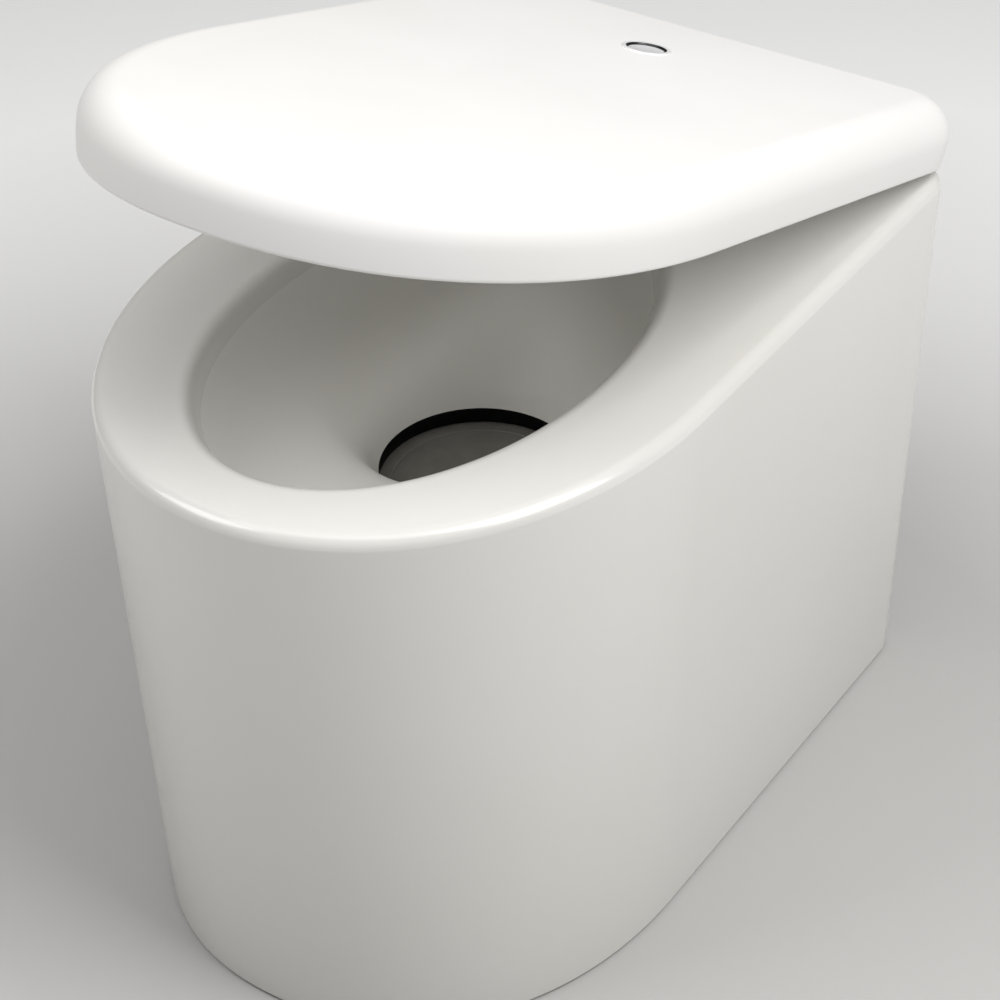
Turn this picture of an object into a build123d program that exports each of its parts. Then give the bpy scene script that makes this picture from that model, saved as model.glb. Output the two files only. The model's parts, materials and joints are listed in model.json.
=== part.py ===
from build123d import *
import math
import os

os.makedirs("parts", exist_ok=True)

# ---------------------------------------------------------------- driving dimensions (mm)
# The toilet stands on z = 0 and faces -Y. X = 0 is its middle plane. The origin is at the
# bottom centre of its box, with the lid in its rest position.
SPIGOT_OUT = 55.0          # how far the exhaust spigot stands out behind the casing
BODY_DEPTH = 583.3         # casing, front to back, at the rim
BACK = (BODY_DEPTH + SPIGOT_OUT) / 2 - SPIGOT_OUT   # y of the casing's rear face
HALF_W = 195.0             # casing half width at the rim
RIM_Z = 417.7              # height of the rim, which is also the seat
CASE_Z = 2.0               # lower edge of the casing
DRAFT_SIDE = 12.9          # the casing is this much narrower per side at the floor
DRAFT_FRONT = 21.6         # and its front this much further back
STRAIGHT = 339.7           # length of the straight sides, from the rear face
CORNER_R = 26.0            # rear corners, seen from above
EDGE_R = 8.8               # rounding of the rim's outer edge
LIP_R = 12.0               # rounding of the rim's inner edge
WALL = 4.0                 # casing wall
SPLIT_Z = 401.7            # joint between casing and bowl, just under the inner edge

# horizontal sections of the bowl: height, front, rear (from the rear face), half width
BOWL = [
    (275.2, -365.5, -230.5, 67.5),
    (290.0, -371.5, -223.0, 74.0),
    (305.0, -380.0, -214.0, 81.0),
    (320.0, -391.0, -205.0, 88.0),
    (334.0, -408.0, -196.5, 94.5),
    (346.0, -434.0, -189.5, 100.0),
    (357.0, -466.0, -183.5, 104.0),
    (370.0, -496.0, -177.0, 108.5),
    (385.0, -515.0, -170.0, 113.5),
    (402.0, -528.0, -161.0, 119.5),
    (417.7, -536.0, -152.0, 125.0),
]
THROAT_Z = 275.2
THROAT_Y = BACK - 298.0
THROAT_R = 67.5

# lid, drawn in its own plane through the hinge axis; y is measured from the axis
LID_ANGLE = 17.48          # how far the lid stands open at rest
HINGE_Y = BACK - 15.5
HINGE_Z = 390.2
LID_GAP = 30.0             # from the hinge axis to the lid's underside
LID_T = 46.5
LID_W = 194.0
LID_REAR = 19.5
LID_FRONT = -581.5
LID_STRAIGHT = -329.9
LID_CORNER = 42.0
LID_EDGE_R = 26.0          # rounding of the lid's upper edge
LID_LEAN = 2.0             # the side leans in by this much from the rounding to the lower edge
LID_WALL = 6.0
BUTTON_Y = -97.2

# hatch drive
SHAFT_Y = BACK - 213.0
SHAFT_Z = 253.0
GEAR_M = 2.0
GEAR_N = 36
PINION_N = 12
PINION_Y = SHAFT_Y + GEAR_M * (GEAR_N + PINION_N) / 2

# exhaust line, one axis along Y
EX_Z = 190.0

# fastener positions, x and y from the rear face, or x and z
BASE_SCREWS = [(-171.5, -60), (171.5, -60), (-171.5, -300), (171.5, -300), (-129, -487.5), (129, -487.5)]
FEET = [(-138, -50), (138, -50), (-95, -465), (95, -465)]
PANEL_SCREWS = [(x, z) for x in (-144, 144) for z in (20, 124, 232, 336)]


def outline(half_w, front, rear, straight_y, corner, e, plane):
    """D-shaped plan: straight rear and sides, a super-elliptic front of exponent e."""
    pts = []
    for i in range(1, 20):
        t = math.pi * i / 20
        c, s = math.cos(t), math.sin(t)
        pts.append((half_w * math.copysign(abs(c) ** (2 / e), c),
                    straight_y - (straight_y - front) * s ** (2 / e)))
    with BuildSketch(plane) as s:
        with BuildLine():
            Line((-half_w + corner, rear), (half_w - corner, rear))
            RadiusArc((half_w - corner, rear), (half_w, rear - corner), corner)
            Line((half_w, rear - corner), (half_w, straight_y))
            Spline([(half_w, straight_y)] + pts + [(-half_w, straight_y)],
                   tangents=[(0, -1), (0, 1)])
            Line((-half_w, straight_y), (-half_w, rear - corner))
            RadiusArc((-half_w, rear - corner), (-half_w + corner, rear), corner)
        make_face()
    return s.sketch


def case_plan(z, inset):
    """Plan of the casing at height z, drawn in by inset."""
    k = 1 - (z - 0.0) / RIM_Z
    return outline(HALF_W - DRAFT_SIDE * k - inset, BACK - BODY_DEPTH + DRAFT_FRONT * k + inset,
                   BACK - inset, BACK - STRAIGHT, CORNER_R - inset * 0.8,
                   2.044 + 0.10 * k, Plane.XY.offset(z))


def bowl_section(z, front, rear, a, grow):
    with BuildSketch(Plane(origin=(0, BACK + (front + rear) / 2, z))) as s:
        Ellipse(a + grow, (rear - front) / 2 + grow)
    return s.sketch


def bowl_at(z):
    """The bowl's front, rear and half width at height z."""
    for lo, hi in zip(BOWL, BOWL[1:]):
        if z <= hi[0]:
            k = (z - lo[0]) / (hi[0] - lo[0])
            return tuple(lo[i] + k * (hi[i] - lo[i]) for i in (1, 2, 3))
    return BOWL[-1][1:]


def lid_plane(h):
    s, c = math.sin(math.radians(LID_ANGLE)), math.cos(math.radians(LID_ANGLE))
    return Plane(origin=(0, HINGE_Y + s * h, HINGE_Z + c * h), x_dir=(1, 0, 0), z_dir=(0, s, c))


def lid_plan(h, inset):
    return outline(LID_W - inset, LID_FRONT + inset, LID_REAR - inset, LID_STRAIGHT,
                   LID_CORNER - inset, 2.25, lid_plane(h))


def gear_face(n, phase, plane):
    """Spur gear outline of n teeth, 20 degree flanks; phase turns the first tooth."""
    r, rb = GEAR_M * n / 2, GEAR_M * n / 2 * math.cos(math.radians(20))
    ra, rf = r + 0.88 * GEAR_M, r - 1.15 * GEAR_M
    inv = lambda x: math.tan(x) - x
    pts = []
    for k in range(n):
        mid = 2 * math.pi * k / n + math.radians(phase)
        half = math.pi / (2 * n) - 0.11 / r + inv(math.radians(20))
        flank = []
        for rr in (rf, max(rb, rf + 0.01), (max(rb, rf) + r) / 2, r, (r + ra) / 2, ra):
            a = half - inv(math.acos(min(1.0, rb / rr))) if rr > rb else half
            flank.append((rr, a))
        pts += [(rr * math.cos(mid - a), rr * math.sin(mid - a)) for rr, a in flank]
        pts += [(rr * math.cos(mid + a), rr * math.sin(mid + a)) for rr, a in reversed(flank)]
    with BuildSketch(plane) as s:
        with BuildLine():
            Polyline(*pts, close=True)
        make_face()
    return s.sketch


def fix(name, part):
    """Label the part and write it out."""
    part.label = name
    export_step(part, "parts/" + name + ".step")


# ---------------------------------------------------------------- bowl cavity and casing
with BuildPart() as cavity:
    loft([bowl_section(*b, 0) for b in BOWL])
    extrude(bowl_section(RIM_Z, *BOWL[-1][1:], 0), amount=30)

with BuildPart() as hollow:
    loft([case_plan(-1.0, WALL), case_plan(RIM_Z - WALL, WALL)], ruled=True)
    # the thick collar that the bowl is screwed up against
    with BuildSketch(Plane(origin=(0, BACK - 344, SPLIT_Z))):
        Ellipse(147, 214)
    extrude(amount=30, mode=Mode.SUBTRACT)

with BuildPart() as outer_casing:
    loft([case_plan(CASE_Z, 0), case_plan(RIM_Z, 0)], ruled=True)
    fillet(outer_casing.faces().sort_by(Axis.Z)[-1].edges(), EDGE_R)
    add(cavity.part, mode=Mode.SUBTRACT)
    fillet(outer_casing.faces().filter_by(GeomType.PLANE).sort_by(Axis.Z)[-1].inner_wires()[0].edges(), LIP_R)
    add(hollow.part, mode=Mode.SUBTRACT)
    # bosses for the base screws, grown out of the wall
    with BuildSketch(Plane.XY.offset(8.0)):
        with Locations(*[(x, BACK + y) for x, y in BASE_SCREWS]):
            Circle(9)
    extrude(amount=22)
    # service opening and the shallow seat of the rear panel
    with BuildSketch(Plane(origin=(0, BACK + 1, 178), x_dir=(-1, 0, 0), z_dir=(0, 1, 0))):
        RectangleRounded(276, 304, 12)
    extrude(amount=-12, mode=Mode.SUBTRACT)
    with BuildSketch(Plane(origin=(0, BACK, 178), x_dir=(-1, 0, 0), z_dir=(0, 1, 0))):
        RectangleRounded(300.6, 333.6, 8)
    extrude(amount=-2, mode=Mode.SUBTRACT)
    # notches at the rear edge in which the lid's hinge lugs move
    with BuildSketch(Plane(origin=(0, BACK - 28, 376.0))):
        with Locations((-75, 25), (75, 25)):
            Rectangle(34, 50)
    extrude(amount=60, mode=Mode.SUBTRACT)
    # screw holes of the hinge brackets and of the rear panel
    with BuildSketch(Plane(origin=(0, BACK + 1, 0), x_dir=(-1, 0, 0), z_dir=(0, 1, 0))):
        with Locations(*[(sx * 75 + dx, 361) for sx in (-1, 1) for dx in (-6, 6)]):
            Circle(2.6)
        with Locations(*PANEL_SCREWS):
            Circle(1.9)
    extrude(amount=-8, mode=Mode.SUBTRACT)
fix("outer_casing", outer_casing.part)

# ---------------------------------------------------------------- bowl
with BuildPart() as bowl:
    skin = [bowl_section(THROAT_Z, *bowl_at(THROAT_Z + 6.0), 3.5)]
    skin += [bowl_section(z - 6.0, f, r, a, 3.5) for z, f, r, a in BOWL[2:-1]]
    skin += [bowl_section(SPLIT_Z, *bowl_at(SPLIT_Z + 6.0), 3.5)]
    loft(skin)
    # flange under the casing's collar
    with BuildSketch(Plane(origin=(0, BACK - 344, SPLIT_Z - 4.0))):
        Ellipse(146, 213)
    extrude(amount=4.0)
    # foot ring on the throat
    with BuildSketch(Plane(origin=(0, THROAT_Y, THROAT_Z))):
        Circle(86)
    extrude(amount=4.0)
    add(cavity.part, mode=Mode.SUBTRACT)
fix("bowl", bowl.part)

with BuildPart() as bowl_screws:
    spots = []
    for i in range(8):
        t = math.radians(22.5 + 45 * i)
        spots.append((137.5 * math.cos(t), BACK - 344 + 204.5 * math.sin(t)))
    with BuildSketch(Plane.XY.offset(SPLIT_Z - 4.0)):
        with Locations(*spots):
            Circle(4.0)
    extrude(amount=-2.6)
    with BuildSketch(Plane.XY.offset(SPLIT_Z - 6.6)):
        with Locations(*spots):
            RegularPolygon(1.6, 6)
    extrude(amount=1.4, mode=Mode.SUBTRACT)
fix("bowl_screws", bowl_screws.part)

# ---------------------------------------------------------------- throat
with BuildPart() as throat_seal:
    with BuildSketch(Plane(origin=(0, THROAT_Y, 262.5))):
        Circle(76.0)
        Circle(THROAT_R + 0.3, mode=Mode.SUBTRACT)
    extrude(amount=THROAT_Z - 262.5)
    chamfer(throat_seal.faces().sort_by(Axis.Z)[0].inner_wires()[0].edges(), 1.2)
fix("throat_seal", throat_seal.part)

with BuildPart() as seal_clamp_ring:
    with BuildSketch(Plane(origin=(0, THROAT_Y, 266.0))):
        Circle(86.0)
        Circle(76.0, mode=Mode.SUBTRACT)
    extrude(amount=THROAT_Z - 266.0)
fix("seal_clamp_ring", seal_clamp_ring.part)

# ---------------------------------------------------------------- hatch
with BuildPart() as hatch_flap:
    with BuildSketch(Plane(origin=(0, THROAT_Y, 259.2))):
        Circle(73.0)
    extrude(amount=3.0)
    # shallow dished centre
    with BuildSketch(Plane(origin=(0, THROAT_Y, 262.2))):
        Circle(60.0)
    extrude(amount=-0.8, mode=Mode.SUBTRACT)
    chamfer(hatch_flap.edges().filter_by(GeomType.CIRCLE).group_by(Axis.Z)[-1], 0.5)
    # two ribs run back to the hubs on the shaft
    with BuildSketch(Plane.XY.offset(254.0)):
        with Locations((-34, SHAFT_Y - 30), (34, SHAFT_Y - 30)):
            Rectangle(12, 70)
    extrude(amount=5.4)
    with BuildSketch(Plane.YZ.offset(-40)):
        with Locations((SHAFT_Y, SHAFT_Z)):
            Circle(9.0)
    extrude(amount=12)
    with BuildSketch(Plane.YZ.offset(28)):
        with Locations((SHAFT_Y, SHAFT_Z)):
            Circle(9.0)
    extrude(amount=12)
    with BuildSketch(Plane.YZ.offset(-50)):
        with Locations((SHAFT_Y, SHAFT_Z)):
            Circle(5.0)
    extrude(amount=100, mode=Mode.SUBTRACT)
    # keep the ribs off the chamber's rear wall
    with BuildSketch(Plane.XY.offset(240.0)):
        with Locations((0, SHAFT_Y + 14)):
            Rectangle(120, 10)
    extrude(amount=30, mode=Mode.SUBTRACT)
fix("hatch_flap", hatch_flap.part)

with BuildPart() as hatch_shaft:
    with BuildSketch(Plane.YZ.offset(-119)):
        with Locations((SHAFT_Y, SHAFT_Z)):
            Circle(5.0)
    extrude(amount=248)
    chamfer(hatch_shaft.edges().filter_by(GeomType.CIRCLE), 0.8)
fix("hatch_shaft", hatch_shaft.part)

with BuildPart() as hatch_gear:
    extrude(gear_face(GEAR_N, 0.0, Plane(origin=(118, SHAFT_Y, SHAFT_Z), x_dir=(0, 1, 0), z_dir=(1, 0, 0))), amount=8)
    with BuildSketch(Plane(origin=(117, SHAFT_Y, SHAFT_Z), x_dir=(0, 1, 0), z_dir=(1, 0, 0))):
        Circle(10)
    extrude(amount=10)
    with BuildSketch(Plane(origin=(115, SHAFT_Y, SHAFT_Z), x_dir=(0, 1, 0), z_dir=(1, 0, 0))):
        Circle(5.0)
        with PolarLocations(21, 6):
            Circle(6.5)
    extrude(amount=14, mode=Mode.SUBTRACT)
fix("hatch_gear", hatch_gear.part)

with BuildPart() as drive_pinion:
    extrude(gear_face(PINION_N, 15.0, Plane(origin=(117, PINION_Y, SHAFT_Z), x_dir=(0, 1, 0), z_dir=(1, 0, 0))), amount=10)
    with BuildSketch(Plane(origin=(97, PINION_Y, SHAFT_Z), x_dir=(0, 1, 0), z_dir=(1, 0, 0))):
        Circle(3.0)
    extrude(amount=32)
fix("drive_pinion", drive_pinion.part)

with BuildPart() as hatch_motor:
    with BuildSketch(Plane.YZ.offset(62)):
        with Locations((PINION_Y, SHAFT_Z)):
            Circle(18.0)
    extrude(amount=28)
    with BuildSketch(Plane.YZ.offset(90)):
        with Locations((PINION_Y, SHAFT_Z)):
            Circle(18.5)
    extrude(amount=22)
    fillet(hatch_motor.faces().sort_by(Axis.X)[0].edges(), 2.0)
    with BuildSketch(Plane.YZ.offset(96)):
        with Locations((PINION_Y, SHAFT_Z)):
            Circle(3.05)
    extrude(amount=16, mode=Mode.SUBTRACT)
fix("hatch_motor", hatch_motor.part)

with BuildPart() as hatch_motor_bracket:
    # upright plate that carries the motor and the right-hand bush, with a foot on the chamber
    with BuildSketch(Plane.YZ.offset(112)):
        with BuildLine():
            Polyline((SHAFT_Y - 24, 232), (PINION_Y + 22, 232), (PINION_Y + 22, 275),
                     (SHAFT_Y + 24, 275), (SHAFT_Y + 24, 268), (SHAFT_Y - 24, 268), close=True)
        make_face()
        with Locations((SHAFT_Y, SHAFT_Z)):
            Circle(8.0, mode=Mode.SUBTRACT)
        with Locations((PINION_Y, SHAFT_Z)):
            Circle(6.0, mode=Mode.SUBTRACT)
    extrude(amount=2)
    with BuildSketch(Plane.XY.offset(266)):
        with Locations((101, SHAFT_Y)):
            Rectangle(22, 40)
    extrude(amount=2)
fix("hatch_motor_bracket", hatch_motor_bracket.part)

with BuildPart() as hatch_bearing_bracket:
    with BuildSketch(Plane.YZ.offset(-114)):
        with Locations((SHAFT_Y, 250)):
            Rectangle(40, 36)
        with Locations((SHAFT_Y, SHAFT_Z)):
            Circle(8.0, mode=Mode.SUBTRACT)
    extrude(amount=2)
    with BuildSketch(Plane.XY.offset(266)):
        with Locations((-102, SHAFT_Y)):
            Rectangle(24, 40)
    extrude(amount=2)
fix("hatch_bearing_bracket", hatch_bearing_bracket.part)

with BuildPart() as hatch_bushes:
    for x0, x1, xf in ((108.0, 115.5, 110.0), (-115.5, -108.0, -112.0)):
        with BuildSketch(Plane.YZ.offset(x0)):
            with Locations((SHAFT_Y, SHAFT_Z)):
                Circle(8.0)
        extrude(amount=x1 - x0)
        with BuildSketch(Plane.YZ.offset(xf)):
            with Locations((SHAFT_Y, SHAFT_Z)):
                Circle(11.0)
        extrude(amount=2.0)
    with BuildSketch(Plane.YZ.offset(-120)):
        with Locations((SHAFT_Y, SHAFT_Z)):
            Circle(5.05)
    extrude(amount=240, mode=Mode.SUBTRACT)
fix("hatch_bushes", hatch_bushes.part)

# ---------------------------------------------------------------- combustion chamber
CH_W, CH_F, CH_R = 88.0, BACK - 385.0, BACK - 203.0   # inner half width, front, rear
CH_Y = (CH_F + CH_R) / 2
CH_D = CH_R - CH_F
CH_CUP_Z = [42.0, 58.0, 74.0]

with BuildPart() as combustion_chamber:
    with BuildSketch(Plane(origin=(0, CH_Y, 28))):
        RectangleRounded(2 * CH_W + 4, CH_D + 4, 20)
    extrude(amount=236)
    with BuildSketch(Plane(origin=(0, CH_Y, 262))):
        RectangleRounded(208, CH_D + 32, 24)
    extrude(amount=2)
    with BuildSketch(Plane(origin=(0, CH_Y, 30))):
        RectangleRounded(2 * CH_W, CH_D, 18)
    extrude(amount=240, mode=Mode.SUBTRACT)
    # shaft, probe, heater and outlet holes
    with BuildSketch(Plane.YZ.offset(-95)):
        with Locations((SHAFT_Y, SHAFT_Z)):
            Circle(6.0)
    extrude(amount=190, mode=Mode.SUBTRACT)
    with BuildSketch(Plane.YZ.offset(80)):
        with Locations((BACK - 330, 150)):
            Circle(3.2)
    extrude(amount=15, mode=Mode.SUBTRACT)
    with BuildSketch(Plane.YZ.offset(-95)):
        with Locations(*[(THROAT_Y, z) for z in CH_CUP_Z]):
            Circle(3.3)
    extrude(amount=15, mode=Mode.SUBTRACT)
    with BuildSketch(Plane(origin=(0, CH_R - 4, EX_Z), x_dir=(-1, 0, 0), z_dir=(0, 1, 0))):
        Circle(28)
    extrude(amount=10, mode=Mode.SUBTRACT)
    # screw holes in the flange
    with BuildSketch(Plane(origin=(0, CH_Y, 255))):
        with Locations((-97, -70), (-97, 0), (97, -70), (97, 0), (-45, -99.5), (45, -99.5), (-45, 99.5), (45, 99.5)):
            Circle(2.2)
    extrude(amount=20, mode=Mode.SUBTRACT)
fix("combustion_chamber", combustion_chamber.part)

with BuildPart() as chamber_top_plate:
    with BuildSketch(Plane(origin=(0, CH_Y, 264))):
        RectangleRounded(208, CH_D + 32, 24)
        with Locations((0, THROAT_Y - CH_Y)):
            Circle(77, mode=Mode.SUBTRACT)
        with Locations((-97, -70), (-97, 0), (97, -70), (97, 0), (-45, -99.5), (45, -99.5), (-45, 99.5), (45, 99.5)):
            Circle(2.2, mode=Mode.SUBTRACT)
    extrude(amount=2)
fix("chamber_top_plate", chamber_top_plate.part)

with BuildPart() as chamber_screws:
    with BuildSketch(Plane(origin=(0, CH_Y, 260))):
        with Locations((-97, -70), (-97, 0), (97, -70), (97, 0), (-45, -99.5), (45, -99.5), (-45, 99.5), (45, 99.5)):
            Circle(2.0)
    extrude(amount=6)
    with BuildSketch(Plane(origin=(0, CH_Y, 266))):
        with Locations((-97, -70), (-97, 0), (97, -70), (97, 0), (-45, -99.5), (45, -99.5), (-45, 99.5), (45, 99.5)):
            RegularPolygon(3.8, 6)
    extrude(amount=3)
fix("chamber_screws", chamber_screws.part)

with BuildPart() as insulation_jacket:
    with BuildSketch(Plane(origin=(0, CH_Y, 32))):
        RectangleRounded(2 * CH_W + 34, CH_D + 34, 30)
        RectangleRounded(2 * CH_W + 4, CH_D + 4, 20, mode=Mode.SUBTRACT)
    extrude(amount=227)
    with BuildSketch(Plane.YZ.offset(-110)):
        with Locations((SHAFT_Y, SHAFT_Z)):
            Circle(7.5)
    extrude(amount=220, mode=Mode.SUBTRACT)
    with BuildSketch(Plane.YZ.offset(85)):
        with Locations((BACK - 330, 150)):
            Circle(7.0)
    extrude(amount=30, mode=Mode.SUBTRACT)
    with BuildSketch(Plane.YZ.offset(-115)):
        with Locations(*[(THROAT_Y, z) for z in CH_CUP_Z]):
            Circle(6.0)
    extrude(amount=30, mode=Mode.SUBTRACT)
    with BuildSketch(Plane(origin=(0, CH_R, EX_Z), x_dir=(-1, 0, 0), z_dir=(0, 1, 0))):
        Circle(41)
    extrude(amount=30, mode=Mode.SUBTRACT)
fix("insulation_jacket", insulation_jacket.part)

with BuildPart() as chamber_stand:
    # two folded channels between base plate and chamber floor
    for x in (-60, 60):
        with BuildSketch(Plane(origin=(x, CH_F + 10, 0), x_dir=(1, 0, 0), z_dir=(0, -1, 0))):
            with BuildLine():
                Polyline((-28, 8), (-12, 8), (-12, 26), (12, 26), (12, 8), (28, 8), (28, 10), (14, 10),
                         (14, 28), (-14, 28), (-14, 10), (-28, 10), close=True)
            make_face()
        extrude(amount=-(CH_D - 20))
fix("chamber_stand", chamber_stand.part)

with BuildPart() as heating_elements:
    # three ring elements round the ash cup, each with a terminal through the wall
    for z in CH_CUP_Z:
        with BuildSketch(Plane(origin=(0, THROAT_Y, z), x_dir=(1, 0, 0), z_dir=(0, -1, 0))):
            with Locations((76, 0)):
                Circle(4.0)
        revolve(axis=Axis((0, THROAT_Y, z), (0, 0, 1)))
        with BuildSketch(Plane.YZ.offset(-116)):
            with Locations((THROAT_Y, z)):
                Circle(3.0)
        extrude(amount=40)
fix("heating_elements", heating_elements.part)

with BuildPart() as ash_cup:
    with BuildSketch(Plane(origin=(0, THROAT_Y, 30))):
        Circle(57)
    with BuildSketch(Plane(origin=(0, THROAT_Y, 86))):
        Circle(61)
    loft()
    with BuildSketch(Plane(origin=(0, THROAT_Y, 85))):
        Circle(63.5)
    extrude(amount=1.5)
    with BuildSketch(Plane(origin=(0, THROAT_Y, 32))):
        Circle(55.2)
    with BuildSketch(Plane(origin=(0, THROAT_Y, 87))):
        Circle(59.4)
    loft(mode=Mode.SUBTRACT)
    # fixed lifting bar across the mouth
    with BuildSketch(Plane.YZ.offset(-59.6)):
        with Locations((THROAT_Y, 82)):
            Circle(2.5)
    extrude(amount=119.2)
fix("ash_cup", ash_cup.part)

with BuildPart() as temperature_probe:
    with BuildSketch(Plane.YZ.offset(78)):
        with Locations((BACK - 330, 150)):
            Circle(3.0)
    extrude(amount=40)
    with BuildSketch(Plane.YZ.offset(90)):
        with Locations((BACK - 330, 150)):
            RegularPolygon(6.5, 6)
    extrude(amount=5)
    with BuildSketch(Plane.YZ.offset(110)):
        with Locations((BACK - 330, 150)):
            Circle(6.0)
    extrude(amount=14)
fix("temperature_probe", temperature_probe.part)

# ---------------------------------------------------------------- exhaust line
def ring_profile(points):
    """Closed half-profile given as (radius, y from the rear face), turned about the exhaust axis."""
    with BuildSketch(Plane(origin=(0, BACK, EX_Z), x_dir=(1, 0, 0), z_dir=(0, 0, 1))) as s:
        with BuildLine():
            Polyline(*points, close=True)
        make_face()
    return s.sketch


EX_AXIS = Axis((0, BACK, EX_Z), (0, 1, 0))

with BuildPart() as outlet_pipe:
    revolve(ring_profile([(28, -201), (40, -201), (40, -198), (30, -198), (30, -182), (28, -182)]), axis=EX_AXIS)
fix("outlet_pipe", outlet_pipe.part)

with BuildPart() as catalytic_can:
    revolve(ring_profile([(28, -182), (30.5, -182), (48, -165), (48, -113), (54, -103), (62, -103), (62, -100),
                          (52.5, -100), (46, -111), (46, -164), (28, -180)]), axis=EX_AXIS)
fix("catalytic_can", catalytic_can.part)

with BuildPart() as catalyst_core:
    with BuildSketch(Plane(origin=(0, BACK - 160, EX_Z), x_dir=(-1, 0, 0), z_dir=(0, 1, 0))):
        Circle(46)
        with GridLocations(9.6, 9.6, 7, 7):
            Rectangle(7.6, 7.6, mode=Mode.SUBTRACT)
    extrude(amount=42)
fix("catalyst_core", catalyst_core.part)

with BuildPart() as fan_housing:
    revolve(ring_profile([(54, -100), (62, -100), (62, -97), (56, -97), (56, -25), (62, -25), (62, -22), (54, -22)]), axis=EX_AXIS)
    # motor ring on three struts
    with BuildSketch(Plane(origin=(0, BACK - 50, EX_Z), x_dir=(-1, 0, 0), z_dir=(0, 1, 0))):
        Circle(23)
        with PolarLocations(38.5, 3, start_angle=90):
            Rectangle(33, 6)
        Circle(20, mode=Mode.SUBTRACT)
    extrude(amount=14)
fix("fan_housing", fan_housing.part)

with BuildPart() as fan_motor:
    with BuildSketch(Plane(origin=(0, BACK - 56, EX_Z), x_dir=(-1, 0, 0), z_dir=(0, 1, 0))):
        Circle(20)
    extrude(amount=32)
    fillet(fan_motor.faces().sort_by(Axis.Y)[-1].edges(), 3)
    with BuildSketch(Plane(origin=(0, BACK - 56, EX_Z), x_dir=(-1, 0, 0), z_dir=(0, 1, 0))):
        Circle(3.05)
    extrude(amount=22, mode=Mode.SUBTRACT)
fix("fan_motor", fan_motor.part)

with BuildPart() as fan_impeller:
    with BuildSketch(Plane(origin=(0, BACK - 86, EX_Z), x_dir=(-1, 0, 0), z_dir=(0, 1, 0))):
        Circle(16)
    extrude(amount=26)
    fillet(fan_impeller.faces().sort_by(Axis.Y)[0].edges(), 5)
    for i in range(7):
        a = 2 * math.pi * i / 7
        u = Vector(math.cos(a), 0, math.sin(a))
        v = Vector(-math.sin(a), 0, math.cos(a))
        chord = v * math.sin(math.radians(38)) + Vector(0, 1, 0) * math.cos(math.radians(38))
        with BuildSketch(Plane(origin=Vector(0, BACK - 73, EX_Z) + u * 13, x_dir=chord, z_dir=u)):
            RectangleRounded(24, 2.2, 1.0)
        extrude(amount=38.5)
    with BuildSketch(Plane(origin=(0, BACK - 90, EX_Z), x_dir=(-1, 0, 0), z_dir=(0, 1, 0))):
        Circle(3.0)
    extrude(amount=40, mode=Mode.SUBTRACT)
fix("fan_impeller", fan_impeller.part)

with BuildPart() as fan_shaft:
    with BuildSketch(Plane(origin=(0, BACK - 90, EX_Z), x_dir=(-1, 0, 0), z_dir=(0, 1, 0))):
        Circle(3.0)
    extrude(amount=54)
fix("fan_shaft", fan_shaft.part)

with BuildPart() as exhaust_spigot:
    revolve(ring_profile([(48, -22), (50, -22), (50, 0), (62, 0), (62, 3), (50, 3), (50, SPIGOT_OUT), (48, SPIGOT_OUT)]), axis=EX_AXIS)
    with BuildSketch(Plane(origin=(0, BACK - 1, EX_Z), x_dir=(-1, 0, 0), z_dir=(0, 1, 0))):
        with PolarLocations(56, 4, start_angle=45):
            Circle(2.1)
    extrude(amount=5, mode=Mode.SUBTRACT)
fix("exhaust_spigot", exhaust_spigot.part)

# ---------------------------------------------------------------- rear panel and what it carries
with BuildPart() as rear_panel:
    with BuildSketch(Plane(origin=(0, BACK - 2, 178), x_dir=(-1, 0, 0), z_dir=(0, 1, 0))):
        RectangleRounded(300, 333, 8)
        with Locations((0, EX_Z - 178)):
            Circle(50.0, mode=Mode.SUBTRACT)
        with Locations(*[(x, z - 178) for x, z in PANEL_SCREWS]):
            Circle(2.2, mode=Mode.SUBTRACT)
        with Locations((-96, 62 - 178)):
            Rectangle(28, 20, mode=Mode.SUBTRACT)
        with Locations((-96, 290 - 178)):
            RectangleRounded(64, 44, 4, mode=Mode.SUBTRACT)
        with Locations(*[(x, z - 178) for x, z in [(56 * math.cos(math.radians(t)), EX_Z + 56 * math.sin(math.radians(t))) for t in (45, 135, 225, 315)]]):
            Circle(1.6, mode=Mode.SUBTRACT)
    extrude(amount=2)
fix("rear_panel", rear_panel.part)

with BuildPart() as rear_panel_screws:
    with BuildSketch(Plane(origin=(0, BACK, 0), x_dir=(-1, 0, 0), z_dir=(0, 1, 0))):
        with Locations(*PANEL_SCREWS):
            Circle(4.0)
    extrude(amount=2.0)
    fillet(rear_panel_screws.faces().group_by(Axis.Y)[-1].edges(), 1.2)
    with BuildSketch(Plane(origin=(0, BACK + 2.0, 0), x_dir=(-1, 0, 0), z_dir=(0, 1, 0))):
        with Locations(*PANEL_SCREWS):
            Rectangle(4.4, 0.9)
            Rectangle(0.9, 4.4)
    extrude(amount=-1.1, mode=Mode.SUBTRACT)
    with BuildSketch(Plane(origin=(0, BACK, 0), x_dir=(-1, 0, 0), z_dir=(0, 1, 0))):
        with Locations(*PANEL_SCREWS):
            Circle(1.8)
    extrude(amount=-6.5)
fix("rear_panel_screws", rear_panel_screws.part)

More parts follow.
